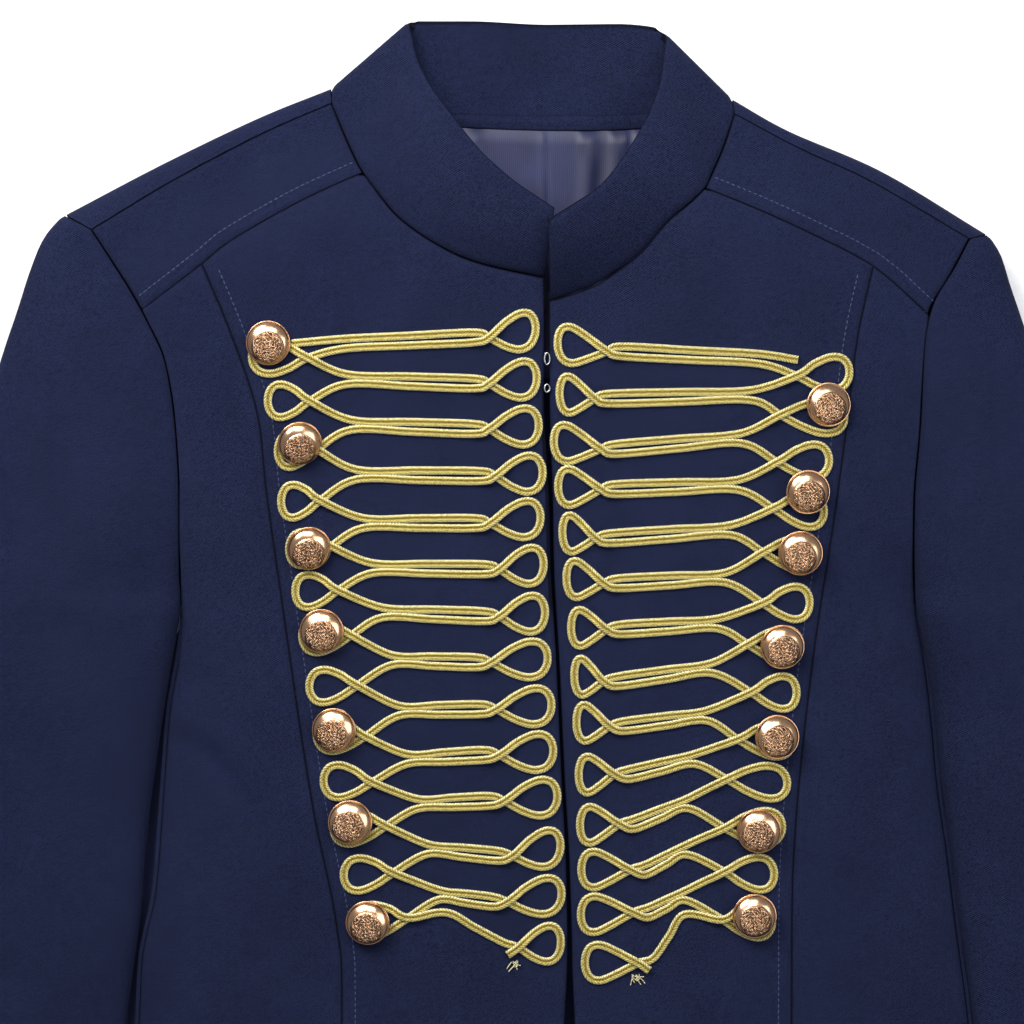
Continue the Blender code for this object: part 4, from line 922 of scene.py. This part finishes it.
def addPath(name, runs):
    # a curve of straight-stepped splines; each run is its points and the tilt at each of them
    curve = bpy.data.curves.new(name, "CURVE")
    curve.dimensions = "3D"
    for points, tilts in runs:
        spline = curve.splines.new("POLY")
        spline.points.add(len(points) - 1)
        moved = (np.array(points) + (planMove[0], planMove[1], 0.0)) * 0.001
        spline.points.foreach_set("co", np.column_stack([moved, np.ones(len(moved))]).reshape(-1))
        spline.points.foreach_set("tilt", np.asarray(tilts, float))
    path = bpy.data.objects.new(name, curve)
    bpy.context.collection.objects.link(path)
    return path


frogs = {
    # a row per braid row: inner crossing x, y, inner loop tip x, rise of that loop's middle,
    # outer crossing x, y, outer loop tip x, rise of that loop's middle
    "Right": (
        (-15.6, 77.4, 7.1, 4.0, -95.7, 68.5, -122.7, 0.3), (-15.6, 57.0, 7.6, 2.5, -94.8, 49.4, -115.7, 0.0),
        (-15.6, 36.9, 8.5, 1.5, -91.7, 28.0, -111.3, -1.0), (-12.9, 16.0, 10.2, 1.5, -90.3, 5.3, -109.9, -0.7),
        (-15.1, -4.9, 9.3, 2.5, -85.4, -15.1, -106.4, -1.6), (-11.1, -25.4, 10.7, 2.2, -82.3, -34.7, -103.7, -0.6),
        (-11.1, -46.3, 11.3, 1.6, -76.5, -54.7, -100.6, -0.6), (-14.7, -66.8, 12.5, 1.8, -73.9, -77.0, -97.5, -0.7),
        (-12.5, -87.7, 14.2, 1.8, -70.3, -99.7, -94.3, 0.8), (-11.1, -108.1, 15.0, 1.8, -67.2, -120.2, -91.2, 0.4),
        (-8.9, -128.6, 16.8, 2.0, -61.0, -139.7, -86.8, -1.2), (-5.3, -153.1, 18.2, 4.5, -57.9, -160.6, -82.3, -1.4),
        (-7.6, -173.6, 18.7, 3.5, -51.2, -180.7, -78.4, -2.6), (-2.7, -194.0, 18.4, 2.2, 0, 0, 0, 0),
    ),
    "Left": (
        (36.9, 71.2, 12.9, 3.8, 120.6, 60.5, 146.4, 1.6), (31.6, 50.3, 13.8, 2.4, 113.5, 43.2, 144.2, -1.3),
        (34.3, 28.0, 11.3, 3.4, 112.1, 22.3, 137.5, 0.6), (34.3, 10.2, 13.2, 1.2, 110.4, 1.8, 135.3, -1.6),
        (32.0, -11.6, 15.1, 2.8, 105.9, -17.8, 132.6, -1.2), (35.6, -31.6, 16.9, 2.4, 105.9, -40.5, 129.1, 0.0),
        (36.9, -52.1, 19.0, 0.8, 99.2, -58.7, 125.0, -1.0), (35.6, -75.2, 20.4, 2.6, 100.6, -80.1, 123.3, -0.4),
        (38.3, -95.2, 21.4, 1.8, 94.8, -101.0, 121.5, -0.8), (40.5, -116.6, 22.4, -0.4, 89.9, -118.8, 119.2, -2.2),
        (42.7, -138.8, 23.0, -0.7, 89.0, -140.6, 117.0, 0.2), (47.6, -159.3, 23.6, 0.0, 89.0, -160.2, 113.5, -1.4),
        (49.0, -178.4, 23.4, -1.2, 88.1, -181.6, 112.6, -1.2), (51.2, -201.1, 25.2, 0.2, 0, 0, 0, 0),
    ),
}
braid = {
    "width": 3.9, "thickness": 1.5, "spacing": 4.35, "lift": 0.15, "crossingLift": 1.5,
    "innerHalfHeight": 8.0, "outerHalfHeight": 7.3, "fullness": {"Right": 1.0, "Left": 0.8},
    "starts": {"Right": (-103.0, 74.8), "Left": (121.5, 67.5)},   # where the first strand is cut
    "stepsPerSpan": 7, "lobeSides": 10,
}


def braidLoop(crossing, tipX, rise, halfHeight, fullness):
    # a loop that leaves and comes back to its crossing, from its lower side to its upper
    length = abs(tipX - crossing[0]) - braid["width"] / 2
    way = math.copysign(1.0, tipX - crossing[0])
    points = []
    for share in np.linspace(0, 1, 10)[1:-1]:
        along = length * math.sin(math.pi * share) ** fullness
        across = -halfHeight * math.sin(2 * math.pi * share) + rise * along / length
        points.append((crossing[0] + way * along, crossing[1] + across))
    return points


def braidRoute(side):
    # the braid's plan route and its crossings: point, first pass and second pass
    rows, out = frogs[side["word"]], side["sign"]
    fullness, half = braid["fullness"][side["word"]], braid["spacing"] / 2
    merges = []
    for n, row in enumerate(rows):
        above = rows[n - 1][4:6] if n else (row[4], row[1])
        below = row[4:6] if n < len(rows) - 1 else above
        middleY = (above[1] + below[1]) / 2 if n else row[1] - (row[1] - row[5]) * 0.3
        merges.append(((above[0] + below[0]) / 2 - out * 16.5, middleY))
    route, crossings = [], []
    for n, (ix, iy, tip, rise, ox, oy, outerTip, outerRise) in enumerate(rows):
        merge, turnIn = merges[n], (ix + out * 6.5, iy)
        between = ((merge[0] + turnIn[0]) / 2, (merge[1] + turnIn[1]) / 2)
        if n == 0:
            route.append(braid["starts"][side["word"]])
        route += [(merge[0], merge[1] + half), (between[0], between[1] + half), (turnIn[0], turnIn[1] + half)]
        first = len(route)
        route.append((ix, iy))
        route += braidLoop((ix, iy), tip, rise, braid["innerHalfHeight"], fullness)
        crossings.append(((ix, iy), first, len(route)))
        route.append((ix, iy))
        if n == len(rows) - 1:
            route.append((ix + out * 4.5, iy - half - 1.0))
            break
        route += [(turnIn[0], turnIn[1] - half), (between[0], between[1] - half), (merge[0], merge[1] - half)]
        first = len(route)
        route.append((ox, oy))
        route += braidLoop((ox, oy), outerTip, outerRise, braid["outerHalfHeight"], 1.0)
        crossings.append(((ox, oy), first, len(route)))
        route.append((ox, oy))
    return np.array(route), crossings


def makeBraidTree():
    # sweeps two round cords and a flat core between them along the path
    sizes = {"Cord Width": 0.0019, "Cord Height": 0.0015, "Cord Offset": 0.00098, "Core Width": 0.0016,
             "Core Height": 0.0007, "Cord Sides": 10}
    tree, given, output = startTree("soutacheBraid", sizes)
    source = given.outputs
    cords = []
    for way in (-1, 1):
        ring = addNode(tree, "GeometryNodeCurvePrimitiveCircle", {"Radius": 0.5}, {"Resolution": source["Cord Sides"]})
        placeX = addNode(tree, "ShaderNodeMath", {"operation": "MULTIPLY", 1: float(way)}, {0: source["Cord Offset"]})
        place = addNode(tree, "ShaderNodeCombineXYZ", {}, {"X": placeX.outputs[0]})
        size = addNode(tree, "ShaderNodeCombineXYZ", {"Z": 1.0}, {"X": source["Cord Width"], "Y": source["Cord Height"]})
        cords.append(addNode(tree, "GeometryNodeTransform", {}, {
            "Geometry": ring.outputs["Curve"], "Translation": place.outputs[0], "Scale": size.outputs[0]}))
    core = addNode(tree, "GeometryNodeCurvePrimitiveQuadrilateral", {}, {
        "Width": source["Core Width"], "Height": source["Core Height"]})
    profile = addNode(tree, "GeometryNodeJoinGeometry")
    for part in (cords[0].outputs[0], cords[1].outputs[0], core.outputs[0]):
        tree.links.new(part, profile.inputs[0])
    spot = addNode(tree, "GeometryNodeInputPosition")
    sideways = addNode(tree, "ShaderNodeSeparateXYZ", {}, {"Vector": spot.outputs[0]})
    marked = addNode(tree, "GeometryNodeStoreNamedAttribute", {"data_type": "FLOAT", "domain": "POINT", "Name": "across"},
                     {"Geometry": profile.outputs[0], "Value": sideways.outputs["X"]})
    upright = addNode(tree, "GeometryNodeSetCurveNormal", {"mode": "Z_UP"}, {"Curve": source["Geometry"]})
    along = addNode(tree, "GeometryNodeSplineParameter")
    measured = addNode(tree, "GeometryNodeStoreNamedAttribute", {"data_type": "FLOAT", "domain": "POINT", "Name": "along"},
                       {"Geometry": upright.outputs[0], "Value": along.outputs["Length"]})
    swept = addNode(tree, "GeometryNodeCurveToMesh", {"Fill Caps": True}, {
        "Curve": measured.outputs[0], "Profile Curve": marked.outputs[0]})
    readAlong = addNode(tree, "GeometryNodeInputNamedAttribute", {"data_type": "FLOAT", "Name": "along"})
    readAcross = addNode(tree, "GeometryNodeInputNamedAttribute", {"data_type": "FLOAT", "Name": "across"})
    inMm = addNode(tree, "ShaderNodeMath", {"operation": "MULTIPLY", 1: 1000.0}, {0: readAlong.outputs["Attribute"]})
    sideMm = addNode(tree, "ShaderNodeMath", {"operation": "MULTIPLY", 1: 1000.0}, {0: readAcross.outputs["Attribute"]})
    run = addNode(tree, "ShaderNodeCombineXYZ", {}, {"X": inMm.outputs[0], "Y": sideMm.outputs[0]})
    mapped = addNode(tree, "GeometryNodeStoreNamedAttribute",
                     {"data_type": "FLOAT2", "domain": "CORNER", "Name": "braidRun"},
                     {"Geometry": swept.outputs[0], "Value": run.outputs[0]})
    plain = addNode(tree, "GeometryNodeRealizeInstances", {}, {"Geometry": mapped.outputs[0]})
    finished = addNode(tree, "GeometryNodeSetMaterial", {"Material": goldYarn}, {"Geometry": plain.outputs[0]})
    tree.links.new(finished.outputs[0], output.inputs[0])
    return tree


def makeBraid(side, tree):
    route, crossings = braidRoute(side)
    plan, index = splineThrough(route, braid["stepsPerSpan"])
    raised = np.zeros(len(plan))
    for centre, first, second in crossings:
        away = np.linalg.norm(plan - np.array(centre), axis=1)
        ramp = np.clip((10.0 - away) / 6.5, 0, 1)
        near = (np.abs(index - second) < np.abs(index - first)) & (np.abs(index - second) < 5.5)
        raised = np.maximum(raised, np.where(near, ramp * ramp * (3 - 2 * ramp) * braid["crossingLift"], 0.0))
    x, y = plan[:, 0], plan[:, 1]
    points, normal = onCloth(x, y, braid["lift"] + braid["thickness"] / 2 + raised)
    tangent = np.gradient(points, axis=0)
    tangent /= np.linalg.norm(tangent, axis=1, keepdims=True)
    level = np.cross(np.array([0, 0, 1.0]), tangent)
    level /= np.linalg.norm(level, axis=1, keepdims=True)
    tilts = np.arctan2(np.sum(normal * level, axis=1), np.sum(normal * np.cross(tangent, level), axis=1))
    runs = [(points, -tilts)]
    path = addPath(f"braid{side['word']}", runs)
    piece = runTree(path, tree, {"Cord Width": 0.00186, "Cord Height": 0.0015, "Cord Offset": 0.00092,
                                 "Cord Sides": braid["lobeSides"]})
    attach(piece, "root")
    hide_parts(f"braid_{side['word'].lower()}")
    return piece


braidTree = makeBraidTree()
braidPieces = [makeBraid(side, braidTree) for side in (right, left)]
print("braid made")

# Frayed ends: a few loose threads where each braid's last row is cut, x and y in the plan
frayed = {
    "ends": ((-4.0, -200.2, -1.6), (49.8, -206.5, -0.9)),   # x, y and the direction they point in
    "threads": 9, "length": 5.5, "diameter": 0.5, "seed": 11,
}


def makeFrayTree():
    tree, given, output = startTree("looseThreads", {"Thread Radius": 0.0002})
    ring = addNode(tree, "GeometryNodeCurvePrimitiveCircle", {"Resolution": 5}, {"Radius": given.outputs["Thread Radius"]})
    swept = addNode(tree, "GeometryNodeCurveToMesh", {"Fill Caps": True}, {
        "Curve": given.outputs["Geometry"], "Profile Curve": ring.outputs[0]})
    mapped = addNode(tree, "GeometryNodeStoreNamedAttribute",
                     {"data_type": "FLOAT2", "domain": "CORNER", "Name": "braidRun"}, {"Geometry": swept.outputs[0]})
    where = addNode(tree, "GeometryNodeInputPosition")
    wide = addNode(tree, "ShaderNodeVectorMath", {"operation": "SCALE", "Scale": 1000.0}, {0: where.outputs[0]})
    tree.links.new(wide.outputs[0], mapped.inputs["Value"])
    plain = addNode(tree, "GeometryNodeRealizeInstances", {}, {"Geometry": mapped.outputs[0]})
    finished = addNode(tree, "GeometryNodeSetMaterial", {"Material": goldYarn}, {"Geometry": plain.outputs[0]})
    tree.links.new(finished.outputs[0], output.inputs[0])
    return tree


def makeFrayedEnds():
    chance = np.random.default_rng(frayed["seed"])
    runs = []
    for x, y, heading in frayed["ends"]:
        for n in range(frayed["threads"]):
            turn = heading + chance.uniform(-0.9, 0.9)
            reach = frayed["length"] * chance.uniform(0.4, 1.0)
            bend = chance.uniform(-0.5, 0.5)
            t = np.linspace(0, 1, 7)
            px = x + chance.uniform(-1.6, 1.6) + reach * t * np.cos(turn + bend * t)
            py = y + chance.uniform(-0.6, 0.6) + reach * t * np.sin(turn + bend * t)
            points, _ = onCloth(px, py, 0.5 + 0.8 * (1 - t) + chance.uniform(0.0, 0.6) * t)
            runs.append((points, np.zeros(7)))
    path = addPath("frayedBraidEnds", runs)
    piece = runTree(path, makeFrayTree(), {"Thread Radius": frayed["diameter"] / 2000})
    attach(piece, "root")
    return piece


makeFrayedEnds()
print("frayed ends made")

stitching = {"pitch": 2.6, "length": 1.75, "width": 0.42, "yokeOffset": 5.8, "princessOffset": 6.0, "sink": 0.05}


def makeStitchTree():
    # one flattened stitch at every pitch along the seam lines
    tree, given, output = startTree("topstitchRun", {"Pitch": 0.0026, "Stitch Length": 0.0018, "Stitch Width": 0.0004})
    source = given.outputs
    upright = addNode(tree, "GeometryNodeSetCurveNormal", {"mode": "Z_UP"}, {"Curve": source["Geometry"]})
    spots = addNode(tree, "GeometryNodeCurveToPoints", {"mode": "LENGTH"}, {"Curve": upright.outputs[0], "Length": source["Pitch"]})
    stitch = addNode(tree, "GeometryNodeMeshUVSphere", {"Segments": 8, "Rings": 5, "Radius": 0.5})
    size = addNode(tree, "ShaderNodeCombineXYZ", {}, {
        "X": source["Stitch Width"], "Y": source["Stitch Width"], "Z": source["Stitch Length"]})
    placed = addNode(tree, "GeometryNodeInstanceOnPoints", {}, {
        "Points": spots.outputs["Points"], "Instance": stitch.outputs["Mesh"], "Rotation": spots.outputs["Rotation"],
        "Scale": size.outputs[0]})
    plain = addNode(tree, "GeometryNodeRealizeInstances", {}, {"Geometry": placed.outputs[0]})
    finished = addNode(tree, "GeometryNodeSetMaterial", {"Material": stitchThread}, {"Geometry": plain.outputs[0]})
    tree.links.new(finished.outputs[0], output.inputs[0])
    return tree


def offsetLine(line, distance):
    # the line moved sideways in the plan, to its left where the distance is positive
    tangent = np.gradient(line, axis=0)
    tangent /= np.linalg.norm(tangent, axis=1, keepdims=True)
    return line + np.column_stack([-tangent[:, 1], tangent[:, 0]]) * distance


def makeTopstitching():
    runs = []
    for side in (right, left):
        lines, sign = seamLines(side), side["sign"]
        yoke = np.vstack([lines["yokeCentre"], lines["yokeSide"][1:]])
        above = offsetLine(smoothLine(yoke, 80), stitching["yokeOffset"] * sign)[2:-2]
        beside = offsetLine(smoothLine(lines["princess"], 240), -stitching["princessOffset"] * sign)[3:]
        for line in (above, beside):
            points, _ = onCloth(line[:, 0], line[:, 1], stitching["sink"])
            runs.append((points, np.zeros(len(points))))
    path = addPath("topstitching", runs)
    piece = runTree(path, makeStitchTree(), {"Pitch": stitching["pitch"] / 1000, "Stitch Length": stitching["length"] / 1000,
                                             "Stitch Width": stitching["width"] / 1000})
    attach(piece, "root")
    return piece


topstitching = makeTopstitching()
print("topstitching made")


# Buttons

button = {
    "radius": 9.9, "height": 5.8, "seat": 3.75, "firstSeat": 2.6, "segments": 96, "petals": 5,
    "Right": ((-113.5, 75.2), (-100.1, 31.6), (-96.1, -15.1), (-89.9, -52.5), (-84.1, -96.6),
              (-77.4, -138.0), (-69.4, -182.5)),
    "Left": ((134.8, 47.6), (125.5, 9.3), (122.8, -18.2), (114.4, -59.6), (112.1, -100.1),
             (104.6, -141.5), (102.4, -179.8)),
    "turns": (0.2, 1.1, 2.3, 0.7, 1.7, 2.9, 0.4),
    "tilts": {"Right": ((2, 3), (14, 12), (12, 12), (4, 3), (2, -3), (-2, 2), (3, -2)),
              "Left": ((-3, 3), (3, 4), (-2, -3), (3, 2), (-3, 3), (2, -3), (-2, 2))},   # degrees about x and y
}


def buttonDome(radius, angle):
    # height of the dome's face, how much painted shade its hollows get and where it is chased: low scrolled leaves,
    # generic, in the lower part of a polished dome
    share = radius / button["radius"]
    dome = button["height"] * np.sqrt(np.maximum(1 - (share * 0.985) ** 2, 0.0)) ** 0.85
    x, y = share * np.cos(angle), share * np.sin(angle) + 0.2
    reach, turn = np.hypot(x, y), np.arctan2(y, x)
    worked = np.clip((0.74 - reach) / 0.1, 0, 1)
    leaf = np.abs(np.sin(turn * button["petals"] + 4.0 * np.sin(reach * 7)))
    scroll = np.sin(x * 21 + 2.2 * np.sin(y * 13)) * np.cos(y * 18 + 2.0 * np.sin(x * 11))
    relief = worked * (0.16 * leaf + 0.2 * np.clip(scroll, -0.5, 1))
    # painted shade in the hollows, deepest where the relief is low
    hollowShade = worked * np.clip(0.75 - relief / 0.3, 0, 1)
    return dome + relief, hollowShade, worked


def makeButton(word, n, x, y):
    seat = button["firstSeat"] if n == 0 else button["seat"]
    count = button["segments"]
    angle = 2 * math.pi * np.arange(count) / count
    rings = []
    if n > 1:
        rings += [(1.8, 0.5, None), (1.8, seat, None)]
    rings += [(button["radius"] - 1.0, seat, None), (button["radius"] - 0.3, seat + 0.15, None),
              (button["radius"], seat + 0.6, None), (button["radius"] - 0.12, seat + 0.95, None),
              (button["radius"] - 0.35, seat + 1.05, None), (button["radius"] - 0.6, seat + 0.95, None)]
    rings += [(r, None, True) for r in np.linspace(button["radius"] - 0.9, 0.35, 36)]
    tiltX, tiltY = (math.radians(a) for a in button["tilts"][word][n])
    points, marks = [], []
    place, normal = onCloth(np.array([x]), np.array([y]), np.zeros(1))
    up = Vector(normal[0]) + Vector((math.tan(tiltY), -math.tan(tiltX), 0.0))
    turn = Vector((0, 0, 1)).rotation_difference(up.normalized()).to_matrix()
    turn = np.array(turn)
    for radius, height, domed in rings:
        if domed:
            rise, *mark = buttonDome(radius, angle + 0.12 * button["turns"][n])
            heights = seat + 0.35 + rise * 0.93
        else:
            heights, mark = np.full(count, height), [np.zeros(count), np.zeros(count)]
        local = np.column_stack([radius * np.cos(angle), radius * np.sin(angle), heights])
        points.append(local @ turn.T + place[0])
        marks.append(mark)
    top, *mark = buttonDome(np.zeros(1), np.zeros(1))
    points.append((np.array([[0, 0, seat + 0.35 + top[0] * 0.93]]) @ turn.T) + place[0])
    points, last = np.vstack(points), (len(rings) - 1) * count
    faces = [tuple(range(count - 1, -1, -1))]
    for ring in range(len(rings) - 1):
        for k in range(count):
            a, b = ring * count + k, ring * count + (k + 1) % count
            faces.append((a, b, b + count, a + count))
    faces += [(last + k, last + (k + 1) % count, len(points) - 1) for k in range(count)]
    piece = addMesh(f"button{word}{n + 1}", points, faces, roseMetal)
    piece.data.set_sharp_from_angle(angle=math.radians(50))
    for number, label in enumerate(("hollowShade", "worked")):
        values = np.concatenate([m[number] for m in marks] + [mark[number]])
        piece.data.attributes.new(label, "FLOAT", "POINT").data.foreach_set("value", values)
    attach(piece, "root")
    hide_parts(f"button_{word.lower()}_{n + 1}")
    return piece


for word in ("Right", "Left"):
    for n, (x, y) in enumerate(button[word]):
        makeButton(word, n, x, y)
print("buttons made")

hooks = {"places": ((10.2, 68.0, 2.6), (10.2, 54.9, 1.7)), "wire": 0.75, "sides": 10, "turns": 40}


def makeHooks():
    # flat wire hooks, each closed over its eye between the two fronts
    for n, (x, y, reach) in enumerate(hooks["places"], 1):
        place, normal = onCloth(np.array([x]), np.array([y]), np.zeros(1))
        points, faces = [], []
        for i in range(hooks["turns"]):
            angle = 2 * math.pi * i / hooks["turns"]
            middle = np.array([1.15 * math.cos(angle), reach * math.sin(angle), 0.0])
            outward = np.array([math.cos(angle), math.sin(angle), 0.0])
            for k in range(hooks["sides"]):
                turn = 2 * math.pi * k / hooks["sides"]
                local = middle + outward * hooks["wire"] / 2 * math.cos(turn)
                rise = hooks["wire"] / 2 * (1 + math.sin(turn)) + 0.45
                points.append(place[0] + local + normal[0] * rise)
        for i in range(hooks["turns"]):
            for k in range(hooks["sides"]):
                i2, k2 = (i + 1) % hooks["turns"], (k + 1) % hooks["sides"]
                faces.append((i * hooks["sides"] + k, i2 * hooks["sides"] + k, i2 * hooks["sides"] + k2, i * hooks["sides"] + k2))
        piece = addMesh(f"hookAndEye{n}", points, faces, nickelWire)
        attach(piece, "root")
        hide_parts(f"hook_{n}")


makeHooks()
print("hooks made")


# Stage, lights and camera

stage = {"size": 2.4, "height": -0.0006}


def makeStage():
    # a white paper sweep under the jacket
    made, tree, shader = startMaterial("whitePaper")
    place = addNode(tree, "ShaderNodeTexCoord").outputs["Object"]
    fibre = addNode(tree, "ShaderNodeTexNoise", {"Scale": 300.0, "Detail": 3.0}, {"Vector": place})
    colour = addNode(tree, "ShaderNodeValToRGB", {}, {"Fac": fibre.outputs["Fac"]}, ((0.3, "#F7F7F8"), (0.7, "#FBFBFC")))
    shader.inputs["Roughness"].default_value = 0.95
    tree.links.new(colour.outputs["Color"], shader.inputs["Base Color"])
    mesh = bpy.data.meshes.new("table")
    half = stage["size"] / 2
    mesh.from_pydata([(-half, -half, stage["height"]), (half, -half, stage["height"]),
                      (half, half, stage["height"]), (-half, half, stage["height"])], [], [(0, 1, 2, 3)])
    mesh.materials.append(made)
    table = bpy.data.objects.new("table", mesh)
    bpy.context.collection.objects.link(table)
    return table


lights = (  # name, place in metres, size, power and colour
    ("keyLight", (-0.62, 0.92, 0.95), 0.7, 20.0, (1.0, 0.985, 0.96)),
    ("fillLight", (0.95, 0.1, 1.2), 0.9, 8.5, (0.97, 0.985, 1.0)),
    ("topLight", (0.1, 0.95, 1.3), 0.6, 9.0, (1.0, 1.0, 1.0)),
)


def makeLights():
    for name, place, size, power, colour in lights:
        lamp = bpy.data.lights.new(name, "AREA")
        lamp.shape, lamp.size, lamp.energy, lamp.color = "SQUARE", size, power, colour
        thing = bpy.data.objects.new(name, lamp)
        thing.location = place
        aim = Vector((planMove[0] * 0.001, planMove[1] * 0.001, 0.0)) - Vector(place)
        thing.rotation_euler = aim.to_track_quat("-Z", "Y").to_euler()
        bpy.context.collection.objects.link(thing)
    world = bpy.data.worlds.new("studio")
    world.use_nodes = True
    world.node_tree.nodes["Background"].inputs["Color"].default_value = (0.92, 0.95, 1.0, 1.0)
    world.node_tree.nodes["Background"].inputs["Strength"].default_value = 0.24
    bpy.context.scene.world = world
    bpy.context.scene.view_settings.view_transform = "Standard"


view = {"lens": 110.0, "sensor": 36.0, "width": 455.7, "focusZ": 20.0, "planX": -5.34, "planY": 0.0}


def makeCamera():
    data = bpy.data.cameras.new("camera")
    data.lens, data.sensor_width, data.sensor_fit = view["lens"], view["sensor"], "HORIZONTAL"
    camera = bpy.data.objects.new("camera", data)
    away = view["width"] / view["sensor"] * view["lens"] + view["focusZ"]
    camera.location = ((view["planX"] + planMove[0]) / 1000, (view["planY"] + planMove[1]) / 1000, away / 1000)
    bpy.context.collection.objects.link(camera)
    bpy.context.scene.camera = camera


table = makeStage()
makeLights()
makeCamera()
print("stage, lights and camera made")
